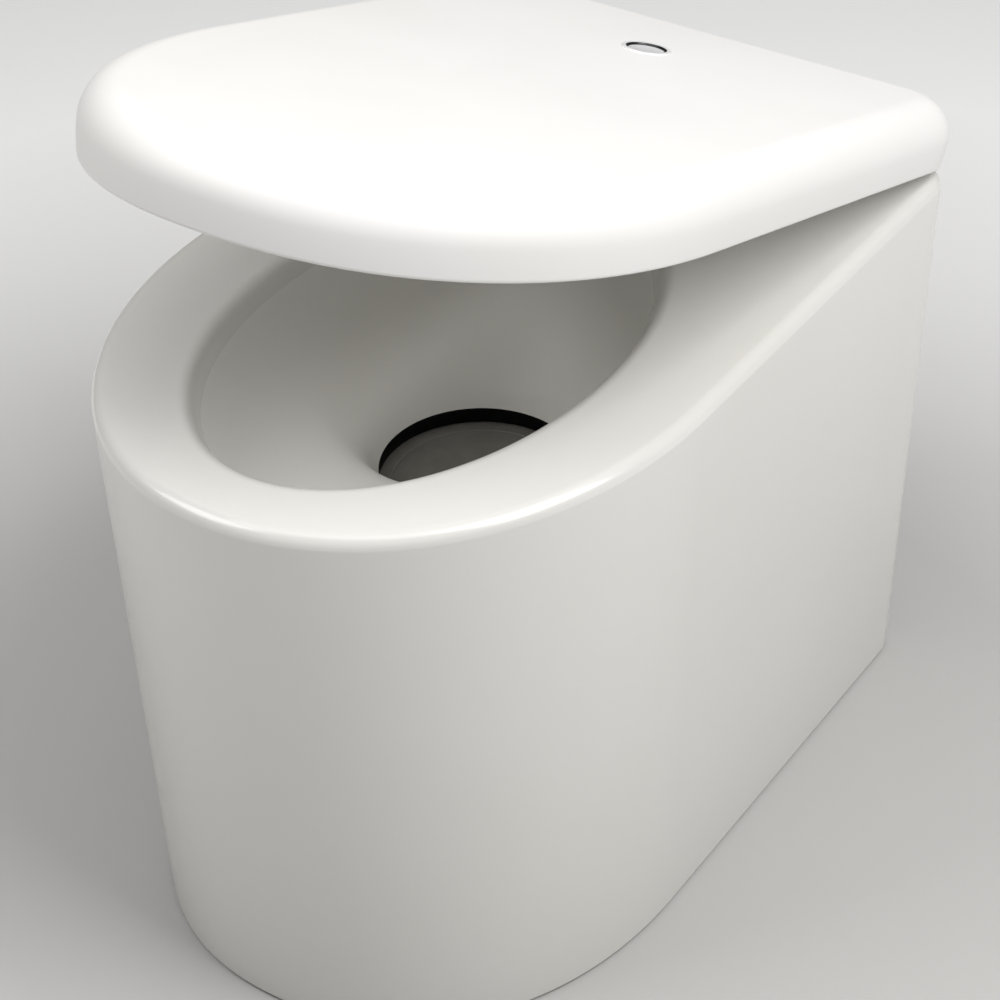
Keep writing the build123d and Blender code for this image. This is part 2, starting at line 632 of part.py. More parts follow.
with BuildPart() as spigot_screws:
    SPOTS = [(56 * math.cos(math.radians(t)), EX_Z + 56 * math.sin(math.radians(t))) for t in (45, 135, 225, 315)]
    with BuildSketch(Plane(origin=(0, BACK + 3, 0), x_dir=(-1, 0, 0), z_dir=(0, 1, 0))):
        with Locations(*SPOTS):
            Circle(3.8)
    extrude(amount=2.0)
    fillet(spigot_screws.faces().group_by(Axis.Y)[-1].edges(), 1.2)
    with BuildSketch(Plane(origin=(0, BACK + 3, 0), x_dir=(-1, 0, 0), z_dir=(0, 1, 0))):
        with Locations(*SPOTS):
            Circle(1.6)
    extrude(amount=-8)
fix("spigot_screws", spigot_screws.part)

with BuildPart() as air_intake_grille:
    with BuildSketch(Plane(origin=(0, BACK, 0), x_dir=(-1, 0, 0), z_dir=(0, 1, 0))):
        with Locations((-96, 290)):
            RectangleRounded(76, 56, 6)
    extrude(amount=3)
    fillet(air_intake_grille.faces().sort_by(Axis.Y)[-1].edges(), 1.2)
    with BuildSketch(Plane(origin=(0, BACK - 6, 0), x_dir=(-1, 0, 0), z_dir=(0, 1, 0))):
        with Locations((-96, 290)):
            RectangleRounded(63.6, 43.6, 3.8)
            RectangleRounded(59.6, 39.6, 2.5, mode=Mode.SUBTRACT)
    extrude(amount=6)
    with BuildSketch(Plane(origin=(0, BACK - 1, 0), x_dir=(-1, 0, 0), z_dir=(0, 1, 0))):
        with Locations((-96, 290)):
            with GridLocations(0, 6.6, 1, 6):
                SlotOverall(56, 3.4)
    extrude(amount=5, mode=Mode.SUBTRACT)
fix("air_intake_grille", air_intake_grille.part)

with BuildPart() as power_inlet:
    # appliance inlet with three flat contacts in its recess
    with BuildSketch(Plane(origin=(0, BACK, 0), x_dir=(-1, 0, 0), z_dir=(0, 1, 0))):
        with Locations((-96, 62)):
            RectangleRounded(50, 30, 7)
    extrude(amount=3)
    fillet(power_inlet.faces().sort_by(Axis.Y)[-1].edges(), 1.0)
    with BuildSketch(Plane(origin=(0, BACK - 26, 0), x_dir=(-1, 0, 0), z_dir=(0, 1, 0))):
        with Locations((-96, 62)):
            Rectangle(28, 20)
    extrude(amount=26)
    with BuildSketch(Plane(origin=(0, BACK + 3, 0), x_dir=(-1, 0, 0), z_dir=(0, 1, 0))):
        with Locations((-96, 62)):
            RectangleRounded(24, 16.5, 3)
    extrude(amount=-18, mode=Mode.SUBTRACT)
    with BuildSketch(Plane(origin=(0, BACK - 15.5, 0), x_dir=(-1, 0, 0), z_dir=(0, 1, 0))):
        with Locations((-103, 60), (-89, 60), (-96, 64.5)):
            Rectangle(2, 5)
    extrude(amount=13)
fix("power_inlet", power_inlet.part)

with BuildPart() as control_box:
    with BuildSketch(Plane(origin=(-99, BACK - 2, 276), x_dir=(-1, 0, 0), z_dir=(0, 1, 0))):
        RectangleRounded(70, 100, 4)
    extrude(amount=-48)
    with BuildSketch(Plane(origin=(-99, BACK - 50, 276), x_dir=(-1, 0, 0), z_dir=(0, 1, 0))):
        RectangleRounded(66, 96, 2.5)
    extrude(amount=46, mode=Mode.SUBTRACT)
    # four standoffs for the board
    with BuildSketch(Plane(origin=(-99, BACK - 4, 276), x_dir=(-1, 0, 0), z_dir=(0, 1, 0))):
        with GridLocations(52, 82, 2, 2):
            Circle(3)
    extrude(amount=-8)
    # cable slot in the lower wall
    with BuildSketch(Plane(origin=(-99, BACK - 36, 224))):
        SlotOverall(30, 8)
    extrude(amount=6, mode=Mode.SUBTRACT)
fix("control_box", control_box.part)

with BuildPart() as control_board:
    with BuildSketch(Plane(origin=(-99, BACK - 12, 276), x_dir=(-1, 0, 0), z_dir=(0, 1, 0))):
        Rectangle(62, 92)
    extrude(amount=-1.6)
    # relays, capacitors, terminal block and processor, standing on the board
    with BuildSketch(Plane(origin=(-99, BACK - 13.6, 276), x_dir=(-1, 0, 0), z_dir=(0, 1, 0))):
        with Locations((-18, 28), (2, 28)):
            Rectangle(15, 19)
    extrude(amount=-15)
    with BuildSketch(Plane(origin=(-99, BACK - 13.6, 276), x_dir=(-1, 0, 0), z_dir=(0, 1, 0))):
        with Locations((21, 30), (21, 16)):
            Circle(5)
    extrude(amount=-18)
    with BuildSketch(Plane(origin=(-99, BACK - 13.6, 276), x_dir=(-1, 0, 0), z_dir=(0, 1, 0))):
        with Locations((0, -36)):
            Rectangle(50, 9)
    extrude(amount=-10)
    with BuildSketch(Plane(origin=(-99, BACK - 13.6, 276), x_dir=(-1, 0, 0), z_dir=(0, 1, 0))):
        with Locations((-6, -8)):
            Rectangle(12, 12)
    extrude(amount=-2)
fix("control_board", control_board.part)

with BuildPart() as control_box_cover:
    with BuildSketch(Plane(origin=(-99, BACK - 50, 276), x_dir=(-1, 0, 0), z_dir=(0, 1, 0))):
        RectangleRounded(70, 100, 4)
    extrude(amount=-2)
    with BuildSketch(Plane(origin=(-99, BACK - 50, 276), x_dir=(-1, 0, 0), z_dir=(0, 1, 0))):
        RectangleRounded(65.6, 95.6, 2.3)
        RectangleRounded(62.6, 92.6, 1.5, mode=Mode.SUBTRACT)
    extrude(amount=4)
fix("control_box_cover", control_box_cover.part)

# ---------------------------------------------------------------- base
with BuildPart() as base_plate:
    extrude(outline(177.6, BACK - 557.0, BACK - 4.4, BACK - STRAIGHT, 21.0, 2.14, Plane.XY.offset(6)), amount=2)
    with BuildSketch(Plane.XY.offset(5)):
        with Locations(*[(x, BACK + y) for x, y in BASE_SCREWS]):
            Circle(2.2)
        # cooling air slots in front of the chamber
        with Locations(*[(x, BACK - 440) for x in (-40, -20, 0, 20, 40)]):
            SlotOverall(40, 5, rotation=90)
    extrude(amount=5, mode=Mode.SUBTRACT)
fix("base_plate", base_plate.part)

with BuildPart() as base_screws:
    with BuildSketch(Plane.XY.offset(3.6)):
        with Locations(*[(x, BACK + y) for x, y in BASE_SCREWS]):
            Circle(4.0)
    extrude(amount=2.4)
    with BuildSketch(Plane.XY.offset(3.6)):
        with Locations(*[(x, BACK + y) for x, y in BASE_SCREWS]):
            Rectangle(4.6, 1)
            Rectangle(1, 4.6)
    extrude(amount=1.2, mode=Mode.SUBTRACT)
    with BuildSketch(Plane.XY.offset(6)):
        with Locations(*[(x, BACK + y) for x, y in BASE_SCREWS]):
            Circle(2.1)
    extrude(amount=2.0)
fix("base_screws", base_screws.part)

with BuildPart() as rubber_feet:
    with BuildSketch(Plane.XY):
        with Locations(*[(x, BACK + y) for x, y in FEET]):
            Circle(17)
    extrude(amount=6)
    fillet(rubber_feet.faces().group_by(Axis.Z)[0].edges(), 1.5)
fix("rubber_feet", rubber_feet.part)

# ---------------------------------------------------------------- lid hinges
HINGES = (-75.0, 75.0)
with BuildPart() as hinge_brackets:
    for hx in HINGES:
        # two cheeks that hold the pin
        for x0 in (hx - 14.0, hx + 11.0):
            with BuildSketch(Plane.YZ.offset(x0)):
                with Locations((HINGE_Y, HINGE_Z)):
                    Circle(9.5)
                with BuildLine():
                    Polyline((HINGE_Y - 9.5, HINGE_Z), (HINGE_Y - 9.5, 364), (HINGE_Y - 4, 348), (BACK - 4, 348),
                             (BACK - 4, 374), (HINGE_Y + 9.5, 378), (HINGE_Y + 9.5, HINGE_Z), close=True)
                make_face()
                with Locations((HINGE_Y, HINGE_Z)):
                    Circle(4.0, mode=Mode.SUBTRACT)
            extrude(amount=3)
        # plate against the casing's rear wall
        with BuildSketch(Plane(origin=(hx, BACK - 4, 361), x_dir=(-1, 0, 0), z_dir=(0, 1, 0))):
            Rectangle(28, 26)
            with Locations((-6, 0), (6, 0)):
                Circle(2.6, mode=Mode.SUBTRACT)
        extrude(amount=-3)
fix("hinge_brackets", hinge_brackets.part)

with BuildPart() as hinge_screws:
    with BuildSketch(Plane(origin=(0, BACK, 361), x_dir=(-1, 0, 0), z_dir=(0, 1, 0))):
        with Locations(*[(hx + d, 0) for hx in HINGES for d in (-6, 6)]):
            Circle(4.2)
    extrude(amount=2.4)
    fillet(hinge_screws.faces().group_by(Axis.Y)[-1].edges(), 1.4)
    with BuildSketch(Plane(origin=(0, BACK + 2.4, 361), x_dir=(-1, 0, 0), z_dir=(0, 1, 0))):
        with Locations(*[(hx + d, 0) for hx in HINGES for d in (-6, 6)]):
            RegularPolygon(1.8, 6)
    extrude(amount=-1.5, mode=Mode.SUBTRACT)
    with BuildSketch(Plane(origin=(0, BACK, 361), x_dir=(-1, 0, 0), z_dir=(0, 1, 0))):
        with Locations(*[(hx + d, 0) for hx in HINGES for d in (-6, 6)]):
            Circle(2.4)
    extrude(amount=-12)
fix("hinge_screws", hinge_screws.part)

with BuildPart() as hinge_pins:
    for hx in HINGES:
        with BuildSketch(Plane.YZ.offset(hx - 16.5)):
            with Locations((HINGE_Y, HINGE_Z)):
                Circle(6.0)
        extrude(amount=2.5)
        with BuildSketch(Plane.YZ.offset(hx - 14)):
            with Locations((HINGE_Y, HINGE_Z)):
                Circle(4.0)
        extrude(amount=28)
fix("hinge_pins", hinge_pins.part)

with BuildPart() as hinge_dampers:
    # rotary dampers on the outer cheeks
    for x0 in (HINGES[1] + 14.0, HINGES[0] + 14.0):
        with BuildSketch(Plane.YZ.offset(x0)):
            with Locations((HINGE_Y, HINGE_Z)):
                Circle(10.5)
        extrude(amount=22)
        with BuildSketch(Plane.YZ.offset(x0 + 22)):
            with Locations((HINGE_Y, HINGE_Z)):
                Circle(7.0)
        extrude(amount=4)
fix("hinge_dampers", hinge_dampers.part)

# ---------------------------------------------------------------- lid
LID_UP = Axis((0, 0, 0), tuple(lid_plane(0).z_dir))
with BuildPart() as lid_void:
    extrude(lid_plan(LID_GAP - 5, LID_WALL), amount=LID_T + 1.0)
    fillet(lid_void.faces().sort_by(LID_UP)[-1].edges(), LID_EDGE_R - 5.0)
    # posts for the liner and hinge screws stay solid
    with BuildSketch(lid_plane(LID_GAP + 4.0)):
        with Locations((-150, -60), (150, -60), (-150, -300), (150, -300), (-75, -510), (75, -510)):
            Circle(6)
    extrude(amount=60, mode=Mode.SUBTRACT)
    with BuildSketch(lid_plane(LID_GAP + 7.0)):
        with Locations(*[(hx + d, -46) for hx in HINGES for d in (-16, 16)]):
            Circle(6)
    extrude(amount=60, mode=Mode.SUBTRACT)

with BuildPart() as lid_shell:
    loft([lid_plan(LID_GAP, LID_LEAN), lid_plan(LID_GAP + LID_T - LID_EDGE_R - 0.5, 0.0)], ruled=True)
    extrude(lid_plan(LID_GAP + LID_T - LID_EDGE_R - 0.5, 0.0), amount=LID_EDGE_R + 0.5)
    fillet(lid_shell.faces().sort_by(LID_UP)[-1].edges(), LID_EDGE_R)
    fillet(lid_shell.faces().sort_by(LID_UP)[0].edges(), 2.5)
    add(lid_void.part, mode=Mode.SUBTRACT)
    # hole for the push button
    with BuildSketch(lid_plane(LID_GAP + LID_T - 10)):
        with Locations((0, BUTTON_Y)):
            Circle(14.5)
    extrude(amount=20, mode=Mode.SUBTRACT)
fix("lid_shell", lid_shell.part)

with BuildPart() as lid_liner:
    extrude(lid_plan(LID_GAP + 1.0, LID_WALL + 0.2), amount=3.0)
    with BuildSketch(lid_plane(LID_GAP)):
        with Locations(*[(hx, 0) for hx in HINGES]):
            Rectangle(21, 22)
    extrude(amount=6, mode=Mode.SUBTRACT)
fix("lid_liner", lid_liner.part)

with BuildPart() as lid_hinge_arms:
    for hx in HINGES:
        # mounting plate above the liner
        with BuildSketch(lid_plane(LID_GAP + 4.0)):
            with Locations((hx, -22)):
                RectangleRounded(46, 66, 6)
        extrude(amount=3)
        # lug down to the pin, turned with the lid
        lug = lid_plane(0)
        with BuildSketch(Plane(origin=Vector(hx - 10, HINGE_Y, HINGE_Z), x_dir=lug.y_dir, z_dir=(1, 0, 0))):
            Circle(10)
            with Locations((0, (LID_GAP + 7.0) / 2)):
                Rectangle(20, LID_GAP + 7.0)
        extrude(amount=20)
        with BuildSketch(Plane(origin=Vector(hx - 12, HINGE_Y, HINGE_Z), x_dir=lug.y_dir, z_dir=(1, 0, 0))):
            Circle(4.05)
        extrude(amount=24, mode=Mode.SUBTRACT)
fix("lid_hinge_arms", lid_hinge_arms.part)

with BuildPart() as lid_bumpers:
    with BuildSketch(lid_plane(LID_GAP + 1.0)):
        with Locations((-55, -534.5), (55, -534.5), (-152, -110), (152, -110)):
            Circle(6)
    extrude(amount=-3.2)
    fillet(lid_bumpers.faces().group_by(LID_UP)[0].edges(), 1.0)
fix("lid_bumpers", lid_bumpers.part)

with BuildPart() as lid_screws:
    with BuildSketch(lid_plane(LID_GAP + 1.0)):
        with Locations((-150, -60), (150, -60), (-150, -300), (150, -300), (-75, -510), (75, -510)):
            Circle(3.6)
    extrude(amount=-0.9)
    with BuildSketch(lid_plane(LID_GAP + 0.1)):
        with Locations((-150, -60), (150, -60), (-150, -300), (150, -300), (-75, -510), (75, -510)):
            Rectangle(4, 0.8)
            Rectangle(0.8, 4)
    extrude(amount=0.5, mode=Mode.SUBTRACT)
fix("lid_screws", lid_screws.part)

# ---------------------------------------------------------------- push button in the lid
LID_TOP = LID_GAP + LID_T
with BuildPart() as button_bezel:
    with BuildSketch(lid_plane(LID_TOP)):
        with Locations((0, BUTTON_Y)):
            Circle(17.0)
    extrude(amount=0.8)
    fillet(button_bezel.faces().sort_by(LID_UP)[-1].edges(), 0.6)
    with BuildSketch(lid_plane(58)):
        with Locations((0, BUTTON_Y)):
            Circle(14.5)
    extrude(amount=LID_TOP - 58)
    with BuildSketch(lid_plane(50)):
        with Locations((0, BUTTON_Y)):
            Circle(13.4)
    extrude(amount=40, mode=Mode.SUBTRACT)
fix("button_bezel", button_bezel.part)

with BuildPart() as lid_button:
    with BuildSketch(lid_plane(68)):
        with Locations((0, BUTTON_Y)):
            Circle(13.1)
    extrude(amount=LID_TOP - 0.6 - 68)
    fillet(lid_button.faces().sort_by(LID_UP)[-1].edges(), 1.0)
    # hollow underneath
    with BuildSketch(lid_plane(68)):
        with Locations((0, BUTTON_Y)):
            Circle(11.3)
            Circle(3.5, mode=Mode.SUBTRACT)
    extrude(amount=5.5, mode=Mode.SUBTRACT)
fix("lid_button", lid_button.part)

with BuildPart() as button_switch:
    with BuildSketch(lid_plane(46)):
        with Locations((0, BUTTON_Y)):
            Circle(14.5)
    extrude(amount=12)
    with BuildSketch(lid_plane(58)):
        with Locations((0, BUTTON_Y)):
            Circle(3.2)
    extrude(amount=6)
    with BuildSketch(lid_plane(41)):
        with Locations((-5, BUTTON_Y), (5, BUTTON_Y)):
            Rectangle(1, 5)
    extrude(amount=5)
fix("button_switch", button_switch.part)

with BuildPart() as button_spring:
    coil = Helix(pitch=3.2, height=12.8, radius=8.0,
                 center=tuple(lid_plane(58.7).from_local_coords(Vector(0, BUTTON_Y, 0))),
                 direction=tuple(lid_plane(0).z_dir), mode=Mode.PRIVATE)
    with BuildSketch(Plane(origin=coil @ 0, z_dir=coil % 0)):
        Circle(0.55)
    sweep(path=coil)
fix("button_spring", button_spring.part)

print("parts written:", len([f for f in os.listdir("parts") if f.endswith(".step")]))
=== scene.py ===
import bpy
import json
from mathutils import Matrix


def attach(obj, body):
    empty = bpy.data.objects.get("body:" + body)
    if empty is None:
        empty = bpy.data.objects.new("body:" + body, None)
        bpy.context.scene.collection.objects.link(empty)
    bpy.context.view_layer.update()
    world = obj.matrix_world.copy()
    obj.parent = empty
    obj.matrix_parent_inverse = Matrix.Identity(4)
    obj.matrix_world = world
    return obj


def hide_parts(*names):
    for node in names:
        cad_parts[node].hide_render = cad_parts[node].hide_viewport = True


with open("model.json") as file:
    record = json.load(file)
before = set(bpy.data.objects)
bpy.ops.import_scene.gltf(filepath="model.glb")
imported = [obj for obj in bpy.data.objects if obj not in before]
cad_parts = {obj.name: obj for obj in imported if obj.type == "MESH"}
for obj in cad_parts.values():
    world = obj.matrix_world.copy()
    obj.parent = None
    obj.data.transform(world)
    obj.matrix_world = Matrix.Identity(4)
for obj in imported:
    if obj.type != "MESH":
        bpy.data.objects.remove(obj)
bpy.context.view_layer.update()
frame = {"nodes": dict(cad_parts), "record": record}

import json
import math

import bmesh
import bpy
import numpy as np
from mathutils import Matrix, Vector

# ---------------------------------------------------------------- sizes, metres, as in the frame
MM = 0.001
SPIGOT_OUT, BODY_DEPTH = 55.0, 583.3
BACK = (BODY_DEPTH + SPIGOT_OUT) / 2 - SPIGOT_OUT
HALF_W, RIM_Z, CASE_Z = 195.0, 417.7, 2.0
DRAFT_SIDE, DRAFT_FRONT, STRAIGHT = 12.9, 21.6, 339.7
CORNER_R, EDGE_R, LIP_R, WALL, SPLIT_Z = 26.0, 8.8, 12.0, 4.0, 401.7
BOWL = [
    (275.2, -365.5, -230.5, 67.5),
    (290.0, -371.5, -223.0, 74.0),
    (305.0, -380.0, -214.0, 81.0),
    (320.0, -391.0, -205.0, 88.0),
    (334.0, -408.0, -196.5, 94.5),
    (346.0, -434.0, -189.5, 100.0),
    (357.0, -466.0, -183.5, 104.0),
    (370.0, -496.0, -177.0, 108.5),
    (385.0, -515.0, -170.0, 113.5),
    (402.0, -528.0, -161.0, 119.5),
    (417.7, -536.0, -152.0, 125.0),
]
THROAT_Z, THROAT_Y, THROAT_R = 275.2, BACK - 298.0, 67.5
LID_ANGLE = math.radians(17.48)
HINGE_Y, HINGE_Z = BACK - 15.5, 390.2
LID_GAP, LID_T, LID_W, LID_LEAN, LID_WALL = 30.0, 46.5, 194.0, 2.0, 6.0
LID_REAR, LID_FRONT, LID_STRAIGHT, LID_CORNER, LID_EDGE_R = 19.5, -581.5, -329.9, 42.0, 26.0
BUTTON_Y = -97.2
LS, LC = math.sin(LID_ANGLE), math.cos(LID_ANGLE)
EX_Z = 190.0
BODY = "toilet_body"


# ---------------------------------------------------------------- curves and meshes
def resample(p, n, closed=False):
    """n points at even spacing along the polyline p; an open line keeps both its ends."""
    p = np.asarray(p, float)
    if closed:
        p = np.vstack([p, p[:1]])
    d = np.r_[0, np.cumsum(np.linalg.norm(np.diff(p, axis=0), axis=1))]
    t = np.linspace(0, d[-1], n + 1)[:-1] if closed else np.linspace(0, d[-1], n)
    return np.stack([np.interp(t, d, p[:, k]) for k in range(p.shape[1])], 1)


def outline(half_w, front, rear, straight_y, corner, e, n=(32, 10, 30, 112)):
    """The D-shaped plan, from the middle of the rear round by +X to the front and back by -X."""
    n_rear, n_corner, n_side, n_front = n
    half = [resample([(0, rear), (half_w - corner, rear)], n_rear // 2 + 1)[:-1]]
    a = np.linspace(math.pi / 2, 0, n_corner + 1)[:-1]
    half.append(np.stack([half_w - corner + corner * np.cos(a), rear - corner + corner * np.sin(a)], 1))
    half.append(resample([(half_w, rear - corner), (half_w, straight_y)], n_side + 1)[:-1])
    t = np.linspace(0, math.pi / 2, 1500)
    arc = np.stack([half_w * np.cos(t) ** (2 / e), straight_y - (straight_y - front) * np.sin(t) ** (2 / e)], 1)
    half.append(resample(arc, n_front // 2 + 1))
    right = np.vstack(half)
    left = right[1:-1][::-1] * [-1, 1]
    return np.vstack([right, left])


def normals2(p):
    """Outward normals of a closed plan that runs clockwise from the rear by +X."""
    t = np.roll(p, -1, 0) - np.roll(p, 1, 0)
    t /= np.linalg.norm(t, axis=1)[:, None]
    n = np.stack([-t[:, 1], t[:, 0]], 1)
    return n


def smooth_normals2(p):
    """Normals weighted by the other neighbour's distance, so that arcs of uneven spacing stay true."""
    a, b = p - np.roll(p, 1, 0), np.roll(p, -1, 0) - p
    la, lb = np.linalg.norm(a, axis=1)[:, None], np.linalg.norm(b, axis=1)[:, None]
    t = a / la * lb + b / lb * la
    t /= np.linalg.norm(t, axis=1)[:, None]
    return np.stack([-t[:, 1], t[:, 0]], 1)


def ellipse_at(angles, cy, a, b):
    """Points of an ellipse centred on (0, cy) that are seen from its centre at these polar angles."""
    c, s = np.cos(angles), np.sin(angles)
    r = 1 / np.sqrt((c / a) ** 2 + (s / b) ** 2)
    return np.stack([r * c, cy + r * s], 1)


def at_z(p, z):
    return np.column_stack([p, np.full(len(p), float(z))])


def skin(name, rings, close=False, cap_first=False, cap_last=False, sharp=(), flip=False):
    """Quads between rings of equal count. sharp lists the rings whose edges are creases. Points in mm."""
    n = len(rings[0])
    bm = bmesh.new()
    rows = [[bm.verts.new(Vector(map(float, p)) * MM) for p in ring] for ring in rings]
    pairs = list(zip(rows, rows[1:])) + ([(rows[-1], rows[0])] if close else [])
    for a, b in pairs:
        for i in range(n):
            j = (i + 1) % n
            q = [a[i], a[j], b[j], b[i]]
            bm.faces.new(q[::-1] if flip else q)
    if cap_first:
        bm.faces.new(rows[0] if flip else rows[0][::-1])
    if cap_last:
        bm.faces.new(rows[-1][::-1] if flip else rows[-1])
    for k in sharp:
        for i in range(n):
            e = bm.edges.get((rows[k][i], rows[k][(i + 1) % n]))
            if e:
                e.smooth = False
    bmesh.ops.recalc_face_normals(bm, faces=bm.faces)
    return finish_mesh(name, bm)


def finish_mesh(name, bm, smooth=True):
    me = bpy.data.meshes.new(name)
    for f in bm.faces:
        f.smooth = smooth
    bm.to_mesh(me)
    bm.free()
    ob = bpy.data.objects.new(name, me)
    bpy.context.scene.collection.objects.link(ob)
    return ob


def lathe(name, profile, place, n=96, sharp_deg=28.0, closed=True):
    """Turns (radius, height) in mm about the axis of place, a function from (x, y, h) to the frame in mm.
    Points on the axis have radius 0. A closed profile makes a ring."""
    bm = bmesh.new()
    rows = []
    for r, h in profile:
        if r < 1e-6:
            rows.append([bm.verts.new(Vector(place(0, 0, h)) * MM)])
        else:
            rows.append([bm.verts.new(Vector(place(r * math.cos(2 * math.pi * i / n), r * math.sin(2 * math.pi * i / n), h)) * MM) for i in range(n)])
    pairs = list(zip(rows, rows[1:])) + ([(rows[-1], rows[0])] if closed else [])
    for a, b in pairs:
        for i in range(n):
            j = (i + 1) % n
            if len(a) == 1 and len(b) == 1:
                continue
            if len(a) == 1:
                bm.faces.new((a[0], b[j], b[i]))
            elif len(b) == 1:
                bm.faces.new((a[i], a[j], b[0]))
            else:
                bm.faces.new((a[i], a[j], b[j], b[i]))
    bmesh.ops.recalc_face_normals(bm, faces=bm.faces)
    ob = finish_mesh(name, bm)
    mark_sharp(ob, sharp_deg)
    return ob


def mark_sharp(ob, deg):
    bm = bmesh.new()
    bm.from_mesh(ob.data)
    for e in bm.edges:
        if len(e.link_faces) == 2 and e.calc_face_angle(0) > math.radians(deg):
            e.smooth = False
    bm.to_mesh(ob.data)
    bm.free()


def round_profile(points, radii, seg=5):
    """A closed profile with its corners rounded; radii match the points, 0 keeps a corner."""
    out = []
    m = len(points)
    for i in range(m):
        p0, p1, p2 = (np.array(points[(i + k) % m], float) for k in (-1, 0, 1))
        r = radii[i]
        if r <= 0:
            out.append(tuple(p1))
            continue
        u, v = (p0 - p1) / np.linalg.norm(p0 - p1), (p2 - p1) / np.linalg.norm(p2 - p1)
        half = math.acos(max(-1, min(1, float(u @ v)))) / 2
        d = r / math.tan(half)
        c = p1 + (u + v) / np.linalg.norm(u + v) * (r / math.sin(half))
        a, b = p1 + u * d - c, p1 + v * d - c
        w = math.atan2(a[0] * b[1] - a[1] * b[0], float(a @ b))
        for k in range(seg + 1):
            t = w * k / seg
            out.append((c[0] + a[0] * math.cos(t) - a[1] * math.sin(t), c[1] + a[0] * math.sin(t) + a[1] * math.cos(t)))
    return out


def cut(ob, cutters, keep=False):
    """Takes the cutters away from ob and removes them."""
    for c in cutters:
        m = ob.modifiers.new("cut", "BOOLEAN")
        m.operation, m.solver, m.object = "DIFFERENCE", "EXACT", c
    apply_all(ob)
    if not keep:
        for c in cutters:
            bpy.data.objects.remove(c)


def apply_all(ob):
    bpy.context.view_layer.update()
    dg = bpy.context.evaluated_depsgraph_get()
    me = bpy.data.meshes.new_from_object(ob.evaluated_get(dg), preserve_all_data_layers=True, depsgraph=dg)
    ob.modifiers.clear()
    old = ob.data
    ob.data = me
    if old.users == 0:
        bpy.data.meshes.remove(old)


def prism(name, pts, place, h0, h1, bevel=0.0, seg=3):
    """A closed plan extruded from h0 to h1 (mm), with its edges bevelled."""
    bm = bmesh.new()
    lo = [bm.verts.new(Vector(place(x, y, h0)) * MM) for x, y in pts]
    hi = [bm.verts.new(Vector(place(x, y, h1)) * MM) for x, y in pts]
    n = len(pts)
    bm.faces.new(lo[::-1])
    bm.faces.new(hi)
    for i in range(n):
        j = (i + 1) % n
        bm.faces.new((lo[i], lo[j], hi[j], hi[i]))
    bmesh.ops.recalc_face_normals(bm, faces=bm.faces)
    ob = finish_mesh(name, bm)
    if bevel:
        bevel_mesh(ob, bevel, seg)
    return ob


def bevel_mesh(ob, width, seg=3, deg=35.0):
    m = ob.modifiers.new("bevel", "BEVEL")
    m.width, m.segments, m.limit_method, m.angle_limit = width * MM, seg, "ANGLE", math.radians(deg)
    m.harden_normals = False
    apply_all(ob)


def weighted(ob):
    m = ob.modifiers.new("weighted", "WEIGHTED_NORMAL")
    m.keep_sharp, m.weight = True, 60
    return ob


def rounded_rect(w, h, r, seg=8, cx=0.0, cy=0.0):
    pts = []
    for k, (sx, sy) in enumerate(((1, 1), (-1, 1), (-1, -1), (1, -1))):
        for i in range(seg + 1):
            a = math.pi / 2 * (k + i / seg)
            pts.append((cx + sx * (w / 2 - r) + r * math.cos(a), cy + sy * (h / 2 - r) + r * math.sin(a)))
    return pts


def disc(r, n=48, cx=0.0, cy=0.0):
    return [(cx + r * math.cos(2 * math.pi * i / n), cy + r * math.sin(2 * math.pi * i / n)) for i in range(n)]


def upright(x, y, h):
    return (x, y, h)


def lid_place(x, y, h):
    """Lid coordinates: y rearwards from the hinge axis in the lid's plane, h above it."""
    return (x, HINGE_Y + LC * y + LS * h, HINGE_Z - LS * y + LC * h)


def rear_place(x, z, h):
    """On the rear face: x as seen from the front, z up, h out of the face towards +Y."""
    return (x, BACK + h, z)


def natural_spline(t, y, tt):
    """Natural cubic spline through (t, y), read at tt."""
    t, y = np.asarray(t, float), np.asarray(y, float)
    n = len(t)
    h = np.diff(t)
    A, r = np.zeros((n, n)), np.zeros(n)
    A[0, 0] = A[-1, -1] = 1
    for i in range(1, n - 1):
        A[i, i - 1], A[i, i], A[i, i + 1] = h[i - 1], 2 * (h[i - 1] + h[i]), h[i]
        r[i] = 6 * ((y[i + 1] - y[i]) / h[i] - (y[i] - y[i - 1]) / h[i - 1])
    m = np.linalg.solve(A, r)
    k = np.clip(np.searchsorted(t, tt) - 1, 0, n - 2)
    dt, dn = tt - t[k], t[k + 1] - tt
    return (m[k] * dn ** 3 + m[k + 1] * dt ** 3) / (6 * h[k]) + (y[k] / h[k] - m[k] * h[k] / 6) * dn + (y[k + 1] / h[k] - m[k + 1] * h[k] / 6) * dt


# ---------------------------------------------------------------- outer casing
def case_plan(z, inset=0.0):
    k = 1 - z / RIM_Z
    return outline(HALF_W - DRAFT_SIDE * k - inset, BACK - BODY_DEPTH + DRAFT_FRONT * k + inset, BACK - inset,
                   BACK - STRAIGHT, CORNER_R - inset * 0.8, 2.044 + 0.10 * k)


def bowl_curve(n_wall=70):
    """The bowl's wall as (z, front, rear, half width), bottom to top, smooth through the sections."""
    table = np.array(BOWL)
    d = np.r_[0, np.cumsum(np.linalg.norm(np.diff(np.column_stack([table[:, 0], table[:, 3], (table[:, 2] - table[:, 1]) / 2]), axis=0), axis=1))]
    tt = np.linspace(0, d[-1], n_wall)
    return np.column_stack([natural_spline(d, table[:, k], tt) for k in range(4)])


CURVE = bowl_curve(400)


def bowl_at(z):
    return [np.interp(z, CURVE[:, 0], CURVE[:, k]) for k in (1, 2, 3)]


def wall_ring(z, angles, grow=0.0):
    f, r, a = bowl_at(z)
    return at_z(ellipse_at(angles, BACK + (f + r) / 2, a + grow, (r - f) / 2 + grow), z)


